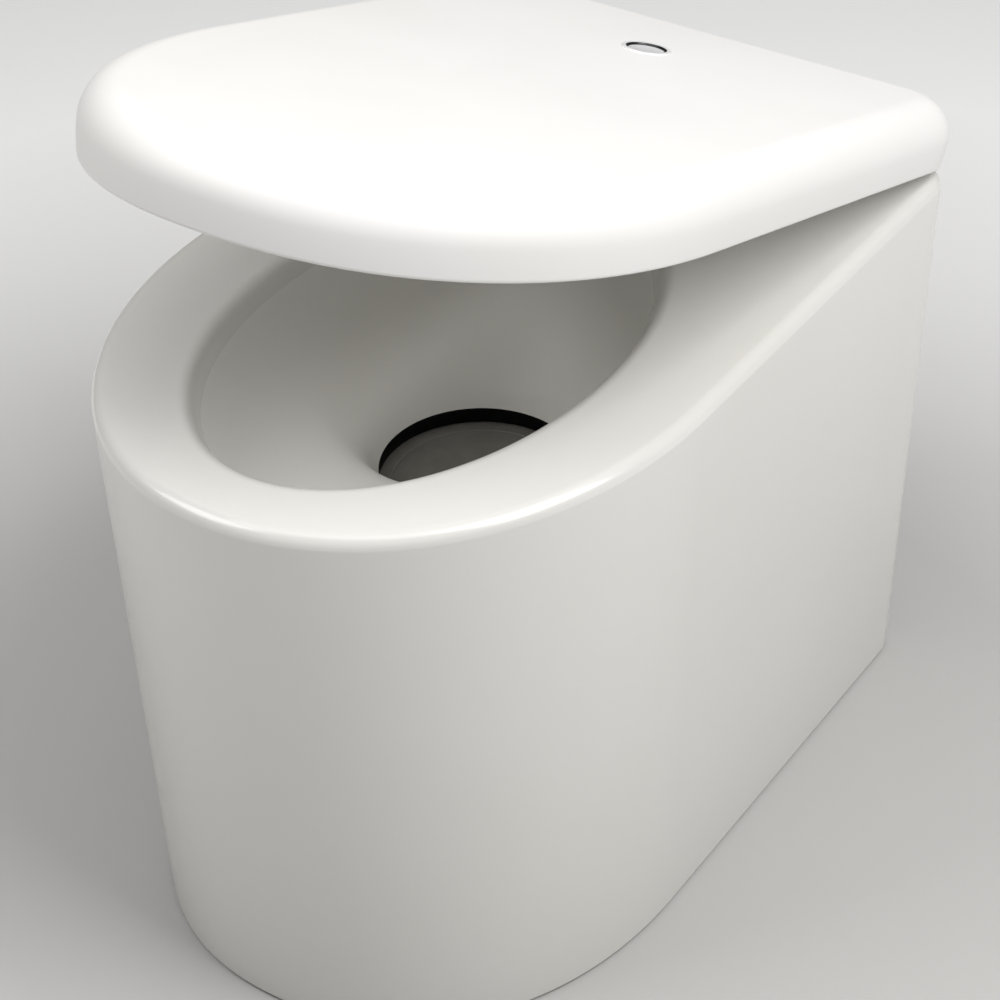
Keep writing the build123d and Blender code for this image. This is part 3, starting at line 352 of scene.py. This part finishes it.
top_plan = case_plan(RIM_Z)
low_plan = case_plan(0.0)
N_PLAN = len(top_plan)
out_n = smooth_normals2(top_plan)
BOWL_CY = BACK + (BOWL[-1][1] + BOWL[-1][2]) / 2
angles = np.arctan2(top_plan[:, 1] - BOWL_CY, top_plan[:, 0])
lean = ((top_plan - low_plan) * out_n).sum(1) / RIM_Z        # tangent of the wall's draft

rings, sharp = [], []
for z in (CASE_Z, CASE_Z + 0.6, 12, 60, 120, 180, 240, 300, 350, 385, 400):
    p = low_plan + (top_plan - low_plan) * (z / RIM_Z)
    if z == CASE_Z:
        p = p - out_n * 0.6
    rings.append(at_z(p, z))
draft = np.arctan(lean)
u = EDGE_R / np.cos(draft) + EDGE_R * lean
for k in range(13):
    phi = -draft + (math.pi / 2 + draft) * k / 12
    off = u - EDGE_R * np.cos(phi)
    rings.append(np.column_stack([top_plan - out_n * off[:, None], RIM_Z - EDGE_R + EDGE_R * np.sin(phi)]))
edge_in = rings[-1][:, :2]

# the rounding at the rim's inner edge, tangent to the bowl's wall
f1, r1, a1 = bowl_at(RIM_Z)
f0, r0, a0 = bowl_at(RIM_Z - 9)
rim_in = ellipse_at(angles, BOWL_CY, a1, (r1 - f1) / 2)
rim_lo = ellipse_at(angles, BACK + (f0 + r0) / 2, a0, (r0 - f0) / 2)
g = np.stack([(rim_in[:, 0]) / a1 ** 2, (rim_in[:, 1] - BOWL_CY) / ((r1 - f1) / 2) ** 2], 1)
g /= np.linalg.norm(g, axis=1)[:, None]
beta = np.arctan(((rim_in - rim_lo) * g).sum(1) / 9.0)
uu = LIP_R * (1 - np.sin(beta)) / np.cos(beta)
lip = []
for k in range(15):
    w = (math.pi / 2 - beta) * k / 14                       # from the wall's tangent up to the flat rim
    off = uu - LIP_R * np.cos(beta + w)
    lip.append(np.column_stack([rim_in + g * off[:, None], RIM_Z - LIP_R + LIP_R * np.sin(beta + w)]))
lip_out = lip[-1][:, :2]
for k in (0.04, 0.12, 0.3, 0.5, 0.7, 0.88, 0.96):
    rings.append(at_z(edge_in * (1 - k) + lip_out * k, RIM_Z))
rings += lip[::-1]
z_lip = float(lip[0][:, 2].min())
low_lip = lip[0]
for k in (0.35, 0.7):
    target = wall_ring(SPLIT_Z, angles)
    rings.append(low_lip * (1 - k) + target * k)
rings.append(wall_ring(SPLIT_Z, angles))
sharp.append(len(rings) - 1)
# collar under the rim, and the inside of the wall
collar = lambda z: at_z(ellipse_at(angles, BACK - 344, 147, 214), z)
rings.append(collar(SPLIT_Z))
sharp.append(len(rings) - 1)
rings.append(collar(RIM_Z - WALL))
sharp.append(len(rings) - 1)
rings.append(at_z(case_plan(RIM_Z - WALL, WALL), RIM_Z - WALL))
sharp.append(len(rings) - 1)
for z in (300, 180, 60):
    rings.append(at_z(case_plan(z, WALL), z))
rings.append(at_z(case_plan(CASE_Z, WALL), CASE_Z))
sharp.append(len(rings) - 1)
casing = skin("casing_shell", rings, close=True, sharp=sharp)
cutters = [
    prism("c1", rounded_rect(276, 304, 12, cx=0, cy=178), rear_place, -12, 3),
    prism("c2", rounded_rect(300.6, 333.6, 8, cx=0, cy=178), rear_place, -2, 3),
]
for sx in (-75, 75):
    cutters.append(prism("c3", [(sx - 17, BACK - 28), (sx + 17, BACK - 28), (sx + 17, BACK + 22), (sx - 17, BACK + 22)], upright, 376, 440))
cut(casing, cutters)
mark_sharp(casing, 30)
weighted(casing)
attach(casing, BODY)
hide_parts("outer_casing")

# ---------------------------------------------------------------- bowl
ang = np.linspace(0, 2 * math.pi, 193)[:-1] + math.pi / 2
walls = CURVE[CURVE[:, 0] < SPLIT_Z - 0.5]
pick = np.unique(np.round(np.linspace(0, len(walls) - 1, 64)).astype(int))
rings = []
for z, f, r, a in walls[pick]:
    rings.append(at_z(ellipse_at(ang, BACK + (f + r) / 2, a, (r - f) / 2), z))
rings.append(wall_ring(SPLIT_Z, ang))
sharp = [0, len(rings) - 1]
flange = lambda z: at_z(ellipse_at(ang, BACK - 344, 146, 213), z)
rings.append(flange(SPLIT_Z))
rings.append(flange(SPLIT_Z - 4))
sharp += [len(rings) - 2, len(rings) - 1]
rings.append(wall_ring(SPLIT_Z - 4, ang, 4.2))
sharp.append(len(rings) - 1)
for z in (385, 370, 357, 346, 334, 320, 305, 292):
    rings.append(wall_ring(z + 5.5, ang, 4.0) - [0, 0, 5.5])
rings.append(at_z(ellipse_at(ang, THROAT_Y, 75.5, 75.5), THROAT_Z + 4))
sharp.append(len(rings) - 1)
rings.append(at_z(ellipse_at(ang, THROAT_Y, 86, 86), THROAT_Z + 4))
rings.append(at_z(ellipse_at(ang, THROAT_Y, 86, 86), THROAT_Z))
sharp += [len(rings) - 2, len(rings) - 1]
bowl = skin("bowl_shell", rings, close=True, sharp=sharp)
weighted(bowl)
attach(bowl, BODY)
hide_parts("bowl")


# ---------------------------------------------------------------- lid
def lid_plan(inset=0.0):
    return outline(LID_W - inset, LID_FRONT + inset, LID_REAR - inset, LID_STRAIGHT, LID_CORNER - inset, 2.25)


def lid_ring(p, h):
    return np.array([lid_place(x, y, h) for x, y in p])


def round_ring(plan, nrm, r, phi, base_h):
    """A ring on a rounding of radius r: phi 0 is the side, pi/2 the top."""
    return lid_ring(plan - nrm * (r - r * math.cos(phi)), base_h + r * math.sin(phi))


plan = lid_plan()
lid_n = smooth_normals2(plan)
top = LID_GAP + LID_T
widest = top - LID_EDGE_R                    # height of the widest ring; below it the side leans in
LOW_R = 2.5


def side_inset(h):
    return LID_LEAN * ((widest - h) / (widest - LID_GAP)) ** 1.6


rings = [lid_ring(plan - lid_n * (LID_LEAN + LOW_R + 1.2), LID_GAP)]
for k in range(7):
    phi = -math.pi / 2 + math.pi / 2 * k / 6
    h = LID_GAP + LOW_R + LOW_R * math.sin(phi)
    rings.append(lid_ring(plan - lid_n * (side_inset(LID_GAP + LOW_R) + LOW_R - LOW_R * math.cos(phi)), h))
for k in (0.2, 0.45, 0.7, 0.9):
    h = LID_GAP + LOW_R + (widest - LID_GAP - LOW_R) * k
    rings.append(lid_ring(plan - lid_n * side_inset(h), h))
for k in range(25):
    rings.append(round_ring(plan, lid_n, LID_EDGE_R, math.pi / 2 * k / 24, widest))
inner = plan - lid_n * LID_EDGE_R
middle = np.array([0.0, (LID_FRONT + LID_REAR) / 2 - 20])
for k in (0.03, 0.08, 0.16, 0.27, 0.4, 0.55, 0.7, 0.82, 0.92):
    rings.append(lid_ring(inner * (1 - k) + middle * k, top))
under = []
wall_in = plan - lid_n * LID_WALL
under.append(lid_ring(wall_in, LID_GAP))
for h in (LID_GAP + 6, LID_GAP + 14, LID_GAP + 21.5):
    under.append(lid_ring(wall_in, h))
for k in range(1, 9):
    phi = math.pi / 2 * k / 8
    under.append(lid_ring(wall_in - lid_n * (21 - 21 * math.cos(phi)), top - 4 - 21 + 21 * math.sin(phi)))
inner4 = wall_in - lid_n * 21
for k in (0.3, 0.6, 0.92):
    under.append(lid_ring(inner4 * (1 - k) + middle * k, top - 4))
allrings = under[::-1] + rings
lid = skin("lid_cover", allrings, cap_first=True, cap_last=True)
cut(lid, [prism("c4", disc(14.6, 72, 0, BUTTON_Y), lid_place, LID_GAP + 20, top + 10)])
mark_sharp(lid, 32)
weighted(lid)
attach(lid, "lid")
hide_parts("lid_shell")

# ---------------------------------------------------------------- seal in the throat
seal = lathe("seal_ring", round_profile([(67.8, 262.5), (76, 262.5), (76, 275.2), (67.8, 275.2)], [2.4, 0.6, 0.4, 2.2], 6),
             lambda x, y, h: (x, THROAT_Y + y, h), n=144, sharp_deg=40)
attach(seal, BODY)
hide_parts("throat_seal")

# ---------------------------------------------------------------- push button
BZ = 76.5
bezel = lathe("button_ring", round_profile([(13.4, 58), (14.5, 58), (14.5, BZ), (17.0, BZ), (17.0, BZ + 0.8), (14.2, BZ + 0.8), (13.4, BZ - 0.4)],
                                           [0.2, 0.2, 0, 0.1, 0.55, 0.5, 0.2], 5),
              lambda x, y, h: lid_place(x, BUTTON_Y + y, h), n=120, sharp_deg=50)
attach(bezel, "lid")
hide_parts("button_bezel")
cap_top = BZ - 0.6
dish = [(0, cap_top - 0.75)] + [(r, cap_top - 0.75 * (1 - (r / 11.4) ** 2) ** 1.0) for r in (1.5, 3, 4.5, 6, 7.5, 9, 10.2, 11.0)]
rim = [(11.5, cap_top), (11.9, cap_top)] + [(12.1 + 1.0 * math.sin(t), cap_top - 1.0 + 1.0 * math.cos(t)) for t in np.linspace(0, math.pi / 2, 7)]
under_cap = [(13.1, 68.2), (12.9, 68), (11.5, 68), (11.3, 68.2), (11.3, 73.5), (3.5, 73.5), (3.5, 68.2), (3.3, 68), (0, 68)]
button = lathe("button_cap", dish + rim + under_cap, lambda x, y, h: lid_place(x, BUTTON_Y + y, h), n=120, sharp_deg=40, closed=False)
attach(button, "button")
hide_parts("lid_button")


# ---------------------------------------------------------------- materials
class Mat:
    """A Principled material with small helpers for its node tree. Coordinates are the piece's own, in metres."""

    def __init__(self, name, colour, rough, metal=0.0, **plain):
        self.m = bpy.data.materials.new(name)
        self.m.use_nodes = True
        self.t = self.m.node_tree
        self.b = self.t.nodes["Principled BSDF"]
        self.colour = colour
        self.b.inputs["Metallic"].default_value = metal
        self.b.inputs["Roughness"].default_value = rough
        self.b.inputs["Base Color"].default_value = (*colour, 1)
        for k, v in plain.items():
            self.b.inputs[k.replace("_", " ")].default_value = v
        self.co = self.t.nodes.new("ShaderNodeTexCoord").outputs["Object"]

    def link(self, a, b):
        self.t.links.new(a, b)

    def node(self, kind, **props):
        n = self.t.nodes.new(kind)
        for k, v in props.items():
            setattr(n, k, v)
        return n

    def scaled(self, xyz, source=None):
        n = self.node("ShaderNodeMapping")
        n.inputs["Scale"].default_value = xyz
        self.link(source or self.co, n.inputs["Vector"])
        return n.outputs["Vector"]

    def noise(self, scale, detail=3.0, rough=0.5, vec=None, distort=0.0):
        n = self.node("ShaderNodeTexNoise")
        n.inputs["Scale"].default_value = scale
        n.inputs["Detail"].default_value = detail
        n.inputs["Roughness"].default_value = rough
        n.inputs["Distortion"].default_value = distort
        self.link(vec or self.co, n.inputs["Vector"])
        return n.outputs["Fac"]

    def cells(self, scale, feature="F1", vec=None):
        n = self.node("ShaderNodeTexVoronoi", feature=feature)
        n.inputs["Scale"].default_value = scale
        self.link(vec or self.co, n.inputs["Vector"])
        return n.outputs["Distance"]

    def ranged(self, fac, a, b, lo=0.3, hi=0.7):
        n = self.node("ShaderNodeMapRange")
        n.inputs["From Min"].default_value, n.inputs["From Max"].default_value = lo, hi
        n.inputs["To Min"].default_value, n.inputs["To Max"].default_value = a, b
        self.link(fac, n.inputs["Value"])
        return n.outputs["Result"]

    def math(self, op, a, b=None, clamp=False):
        n = self.node("ShaderNodeMath", operation=op, use_clamp=clamp)
        for k, v in enumerate((a, b)):
            if v is None:
                continue
            if isinstance(v, (int, float)):
                n.inputs[k].default_value = v
            else:
                self.link(v, n.inputs[k])
        return n.outputs[0]

    def mix(self, fac, a, b):
        n = self.node("ShaderNodeMix", data_type="RGBA")
        for sock, v in ((n.inputs[6], a), (n.inputs[7], b)):
            if isinstance(v, tuple):
                sock.default_value = (*v, 1)
            else:
                self.link(v, sock)
        if isinstance(fac, (int, float)):
            n.inputs[0].default_value = fac
        else:
            self.link(fac, n.inputs[0])
        return n.outputs[2]

    def bump(self, height, strength, distance, under=None):
        n = self.node("ShaderNodeBump")
        n.inputs["Strength"].default_value = strength
        n.inputs["Distance"].default_value = distance
        self.link(height, n.inputs["Height"])
        if under is not None:
            self.link(under, n.inputs["Normal"])
        return n.outputs["Normal"]

    def out(self, colour=None, rough=None, normal=None):
        if colour is not None:
            self.link(colour, self.b.inputs["Base Color"])
        if rough is not None:
            self.link(rough, self.b.inputs["Roughness"])
        if normal is not None:
            self.link(normal, self.b.inputs["Normal"])
        return self.m


def tone(c, k):
    return tuple(min(1.0, x * k) for x in c)


def gloss_white(name, colour, rough=0.2, peel=0.05, coat=0.25, shine=0.5):
    """Glossy moulded shell: faint orange peel, uneven gloss and a trace of handling."""
    m = Mat(name, colour, rough, Coat_Weight=coat, Coat_Roughness=0.1, Specular_IOR_Level=shine)
    broad = m.noise(3.2, 2.0)
    fine = m.noise(17.0, 3.0, 0.5)
    warm = tuple(x * k for x, k in zip(colour, (1.0, 0.990, 0.972)))
    c = m.mix(m.ranged(broad, 0.0, 1.0), colour, tone(warm, 0.985))
    c = m.mix(m.ranged(fine, 0.0, 0.3, 0.45, 0.8), c, tone(warm, 0.97))
    smudge = m.noise(9.0, 4.0, 0.55, distort=0.3)
    r = m.ranged(smudge, rough - 0.02, rough + 0.05, 0.35, 0.7)
    n = m.bump(m.noise(26.0, 1.0, 0.3), peel, 0.0012)
    return m.out(c, r, n)


def satin_white(name, colour, rough=0.42):
    """Satin moulding with a fine grain."""
    m = Mat(name, colour, rough)
    c = m.mix(m.ranged(m.noise(5.0, 3.0), 0, 1), colour, tone(colour, 0.965))
    r = m.ranged(m.noise(30.0, 3.0), rough - 0.04, rough + 0.08)
    n = m.bump(m.noise(1500.0, 2.0, 0.5), 0.12, 0.0002)
    return m.out(c, r, n)


def powder(name, colour, rough=0.42):
    """Powder coat: tight orange peel over sheet metal."""
    m = Mat(name, colour, rough)
    c = m.mix(m.ranged(m.noise(6.0, 3.0), 0, 1), colour, tone(colour, 0.96))
    r = m.ranged(m.noise(55.0, 3.0), rough - 0.06, rough + 0.08)
    n = m.bump(m.noise(620.0, 3.0, 0.55), 0.28, 0.0003)
    return m.out(c, r, n)


def rubber(name, colour, rough=0.72, shine=0.35):
    m = Mat(name, colour, rough, Specular_IOR_Level=shine)
    c = m.mix(m.ranged(m.noise(24.0, 4.0), 0, 1), colour, tuple(x * 1.05 + 0.001 for x in colour))
    r = m.ranged(m.noise(80.0, 3.0), rough - 0.1, rough + 0.1)
    n = m.bump(m.noise(1300.0, 3.0, 0.6), 0.2, 0.0002)
    return m.out(c, r, n)


def plastic(name, colour, rough=0.45, grain=900.0, depth=0.25):
    """Moulded plastic with a fine spark-eroded grain."""
    m = Mat(name, colour, rough)
    c = m.mix(m.ranged(m.noise(12.0, 4.0), 0, 1), colour, tone(colour, 0.88))
    r = m.ranged(m.noise(40.0, 3.0), rough - 0.06, rough + 0.1)
    n = m.bump(m.cells(grain), depth, 0.00015)
    return m.out(c, r, n)


def steel(name, colour, rough=0.32, along=(1, 1, 1), streak=0.1, tint=None):
    """Brushed sheet metal. along is small in the direction of the brush lines."""
    m = Mat(name, colour, rough, 1.0)
    v = m.scaled(tuple(a * 900.0 for a in along))
    lines = m.noise(1.0, 4.0, 0.6, vec=v)
    patch = m.noise(9.0, 4.0, 0.55)
    c = m.mix(m.ranged(lines, 0, 1), tone(colour, 0.86), tone(colour, 1.08))
    if tint:
        c = m.mix(m.ranged(m.noise(16.0, 3.0, 0.5, distort=0.6), 0.0, 0.75), c, tint)
    c = m.mix(m.ranged(patch, 0.0, 0.35), c, tone(colour, 0.78))
    r = m.math("ADD", m.ranged(lines, rough - streak / 2, rough + streak / 2), m.ranged(patch, -0.03, 0.06))
    n = m.bump(lines, 0.08, 0.0001)
    return m.out(c, r, n)


def turned_steel(name, colour, rough, centre, axis="Z", tint=None, ring=1400.0, metal=1.0):
    """Metal brushed in circles about a line along axis through centre (metres)."""
    m = Mat(name, colour, rough, metal)
    shift = m.node("ShaderNodeVectorMath", operation="SUBTRACT")
    shift.inputs[1].default_value = centre
    m.link(m.co, shift.inputs[0])
    sep = m.node("ShaderNodeSeparateXYZ")
    m.link(shift.outputs[0], sep.inputs[0])
    a, b, h = {"Z": ("X", "Y", "Z"), "Y": ("X", "Z", "Y"), "X": ("Y", "Z", "X")}[axis]
    r2 = m.math("ADD", m.math("POWER", sep.outputs[a], 2.0), m.math("POWER", sep.outputs[b], 2.0))
    radius = m.math("SQRT", r2)
    angle = m.math("ARCTAN2", sep.outputs[b], sep.outputs[a])
    comb = m.node("ShaderNodeCombineXYZ")
    m.link(m.math("MULTIPLY", radius, ring), comb.inputs[0])
    m.link(m.math("MULTIPLY", angle, 1.2), comb.inputs[1])
    m.link(m.math("MULTIPLY", sep.outputs[h], ring * 0.5), comb.inputs[2])
    lines = m.noise(1.0, 3.0, 0.6, vec=comb.outputs[0])
    patch = m.noise(20.0, 5.0, 0.6)
    c = m.mix(m.ranged(lines, 0, 1), tone(colour, 0.82), tone(colour, 1.12))
    if tint:
        c = m.mix(m.ranged(m.noise(26.0, 4.0, 0.6, distort=0.8), 0.0, 0.8), c, tint)
    c = m.mix(m.ranged(patch, 0.0, 0.4), c, tone(colour, 0.7))
    r = m.math("ADD", m.ranged(lines, rough - 0.05, rough + 0.05), m.ranged(patch, -0.04, 0.1))
    n = m.bump(lines, 0.1, 0.0001)
    return m.out(c, r, n)


def chrome(name, colour, rough=0.08, metal=1.0):
    m = Mat(name, colour, rough, metal)
    c = m.mix(m.ranged(m.noise(60.0, 4.0), 0, 1), colour, tone(colour, 0.9))
    r = m.ranged(m.noise(180.0, 5.0, 0.6, distort=0.5), rough - 0.02, rough + 0.09)
    n = m.bump(m.noise(2400.0, 2.0), 0.03, 0.00005)
    return m.out(c, r, n)


def bezel_chrome_painted_shade(name, colour, rough, metal, centre, axis, bore):
    """Bright ring whose bore is painted near-black as painted shade for the shaded far wall of the recess: everything
    nearer than bore to the axis through centre (metres).
    """
    m = Mat(name, colour, rough, metal)
    d = m.node("ShaderNodeVectorMath", operation="SUBTRACT")
    d.inputs[1].default_value = centre
    m.link(m.co, d.inputs[0])
    along = m.node("ShaderNodeVectorMath", operation="DOT_PRODUCT")
    along.inputs[1].default_value = axis
    m.link(d.outputs[0], along.inputs[0])
    far = m.node("ShaderNodeVectorMath", operation="LENGTH")
    m.link(d.outputs[0], far.inputs[0])
    r2 = m.math("SUBTRACT", m.math("MULTIPLY", far.outputs["Value"], far.outputs["Value"]), m.math("MULTIPLY", along.outputs["Value"], along.outputs["Value"]))
    c = m.mix(m.ranged(m.noise(60.0, 4.0), 0, 1), colour, tone(colour, 0.94))
    # painted shade: the bore is painted near-black where it stands for the shade inside the button's recess
    c = m.mix(m.math("LESS_THAN", r2, bore * bore), c, (0.012, 0.012, 0.012))
    return m.out(c, m.ranged(m.noise(180.0, 5.0, 0.6, distort=0.5), rough - 0.02, rough + 0.08), None)


def wool(name, colour):
    """Ceramic fibre blanket: matted fibres and soft lumps."""
    m = Mat(name, colour, 0.95, Sheen_Weight=0.25)
    v = m.scaled((500.0, 120.0, 500.0))
    f = m.noise(1.0, 5.0, 0.7, vec=v, distort=1.5)
    lump = m.noise(45.0, 3.0)
    c = m.mix(m.ranged(f, 0, 1), tone(colour, 0.86), tone(colour, 1.03))
    n = m.bump(f, 0.6, 0.0008)
    n = m.bump(lump, 0.5, 0.003, n)
    return m.out(c, None, n)


def board(name, colour):
    """Circuit board: solder mask with copper tracks under it."""
    m = Mat(name, colour, 0.3)
    v = m.scaled((260.0, 260.0, 260.0))
    n1 = m.node("ShaderNodeTexVoronoi", feature="DISTANCE_TO_EDGE", distance="EUCLIDEAN")
    n1.inputs["Scale"].default_value = 1.0
    m.link(v, n1.inputs["Vector"])
    tracks = m.math("LESS_THAN", n1.outputs["Distance"], 0.09)
    c = m.mix(tracks, colour, tone(colour, 2.0))
    n = m.bump(tracks, 0.3, 0.0001)
    return m.out(c, m.ranged(m.noise(70.0), 0.25, 0.4), n)


MATS = {
    "casing_white": gloss_white("casing_white", (0.742, 0.732, 0.706), rough=0.2, peel=0.02),
    "bowl_white": gloss_white("bowl_white", (0.785, 0.774, 0.745), rough=0.34, peel=0.01, coat=0.1),
    "lid_white": gloss_white("lid_white", (0.830, 0.823, 0.812), rough=0.45, peel=0.02, coat=0.0, shine=0.35),
    "liner_white": satin_white("liner_white", (0.84, 0.838, 0.825)),
    "rubber_black": rubber("rubber_black", (0.003, 0.003, 0.003), 0.88, 0.12),
    "rubber_grey": rubber("rubber_grey", (0.30, 0.30, 0.30), 0.6),
    "hatch_steel": turned_steel("hatch_steel", (0.285, 0.275, 0.252), 0.72, (0, THROAT_Y * MM, 0.26), "Z", tint=(0.22, 0.21, 0.19), metal=0.35),
    "steel": steel("steel", (0.60, 0.60, 0.59), 0.34, (0.03, 1, 1)),
    "steel_screw": chrome("steel_screw", (0.62, 0.62, 0.61), 0.24),
    "steel_hot": steel("steel_hot", (0.36, 0.33, 0.30), 0.42, (1, 1, 0.04), tint=(0.30, 0.21, 0.13)),
    "panel_paint": powder("panel_paint", (0.78, 0.78, 0.765)),
    "fibre_wool": wool("fibre_wool", (0.80, 0.79, 0.75)),
    "chrome": chrome("chrome", (0.78, 0.775, 0.785), 0.16, 0.45),
    "bronze": steel("bronze", (0.52, 0.36, 0.18), 0.4, (1, 1, 1)),
    "black_plastic": plastic("black_plastic", (0.025, 0.025, 0.028), 0.45),
    "grey_plastic": plastic("grey_plastic", (0.42, 0.42, 0.42), 0.5),
    "board_green": board("board_green", (0.02, 0.12, 0.045)),
    "gear_plastic": plastic("gear_plastic", (0.66, 0.62, 0.50), 0.4, 600.0, 0.1),
}
# the bezel's material paints its bore near-black as painted shade
BEZEL_CHROME_PAINTED_SHADE = bezel_chrome_painted_shade("bezel_chrome_painted_shade", (0.93, 0.925, 0.93), 0.25, 0.2, tuple(v * MM for v in lid_place(0, BUTTON_Y, 70)), (0, LS, LC), 0.0142)
CAP_CHROME = chrome("cap_chrome", (0.92, 0.915, 0.925), 0.2, 0.25)
SPIGOT_STEEL = turned_steel("spigot_steel", (0.60, 0.60, 0.59), 0.3, (0, 0, EX_Z * MM), "Y")


def wear(ob, mat):
    ob.data.materials.clear()
    ob.data.materials.append(mat)


for s in frame["record"]["subparts"]:
    name = s.get("node") or s.get("name")
    wear(frame["nodes"][name], MATS[s["material_slot"]])
for ob, slot_name in ((casing, "casing_white"), (bowl, "bowl_white"), (lid, "lid_white"), (seal, "rubber_black"), (bezel, "chrome"), (button, "chrome")):
    wear(ob, MATS[slot_name])
wear(frame["nodes"]["exhaust_spigot"], SPIGOT_STEEL)
wear(bezel, BEZEL_CHROME_PAINTED_SHADE)
wear(button, CAP_CHROME)


# ---------------------------------------------------------------- floor, light and camera
# the near floor colour is painted shade around where the object stands
FLOOR_NEAR_SHADE, FLOOR_FAR = (0.50, 0.495, 0.485), (0.92, 0.92, 0.915)


def floor():
    """Pale floor, painted darker where the object stands than further out: painted shade around the object, which also
    cuts the light the floor bounces onto it.
    """
    bm = bmesh.new()
    bmesh.ops.create_grid(bm, x_segments=24, y_segments=24, size=9.0)
    ob = finish_mesh("floor", bm)
    m = Mat("floor_pale", FLOOR_NEAR_SHADE, 0.75, Specular_IOR_Level=0.15)
    dist = m.node("ShaderNodeVectorMath", operation="LENGTH")
    m.link(m.co, dist.inputs[0])
    # painted shade: darker floor within 0.4 m of the object's centre, blending to the pale far colour by 1.05 m
    c = m.mix(m.ranged(dist.outputs["Value"], 0.0, 1.0, 0.40, 1.05), FLOOR_NEAR_SHADE, FLOOR_FAR)
    c = m.mix(m.ranged(m.noise(0.8, 2.0), 0, 0.02), c, (0.4, 0.4, 0.4))
    wear(ob, m.out(c, m.ranged(m.noise(20.0), 0.7, 0.8), None))
    return ob


floor()


def area(name, at, look, size, power, colour=(1, 1, 1)):
    li = bpy.data.lights.new(name, "AREA")
    li.shape, li.size, li.size_y, li.energy, li.color = "RECTANGLE", size[0], size[1], power, colour
    ob = bpy.data.objects.new(name, li)
    ob.location = at
    ob.rotation_mode = "QUATERNION"
    ob.rotation_quaternion = (Vector(look) - Vector(at)).to_track_quat("-Z", "Y")
    bpy.context.scene.collection.objects.link(ob)
    return ob


area("overhead", (0, 0, 2.8), (0, 0, 0.3), (2.4, 2.4), 36.5)
area("above_front_left", (-1.3, -1.4, 2.2), (0, 0, 0.4), (1.4, 1.2), 25.4)
area("above_right", (1.6, 0, 2.2), (0, 0, 0.4), (1.4, 1.8), 48.5)
area("side_right", (2.7, -0.3, 1.2), (0, 0, 0.3), (1.8, 1.6), 2.0)
world = bpy.data.worlds.new("studio")
world.use_nodes = True
world.node_tree.nodes["Background"].inputs["Color"].default_value = (1, 0.985, 0.965, 1)
world.node_tree.nodes["Background"].inputs["Strength"].default_value = 0.08
bpy.context.scene.world = world
bpy.context.scene.view_settings.view_transform = "Standard"
bpy.context.scene.cycles.diffuse_bounces = 8

cam = bpy.data.cameras.new("camera")
cam.sensor_width, cam.lens, cam.sensor_fit = 36.0, 99.2376, "HORIZONTAL"
cam.clip_start, cam.clip_end = 0.02, 60.0
cam_ob = bpy.data.objects.new("camera", cam)
bpy.context.scene.collection.objects.link(cam_ob)
X, Y, Z = (0.83487, 0.55014, -0.01835), (-0.31758, 0.50863, 0.80027), (0.4496, -0.66229, 0.59936)
cam_ob.matrix_world = Matrix(((X[0], Y[0], Z[0], 0.85188), (X[1], Y[1], Z[1], -1.26443), (X[2], Y[2], Z[2], 1.36653), (0, 0, 0, 1)))
bpy.context.scene.camera = cam_ob
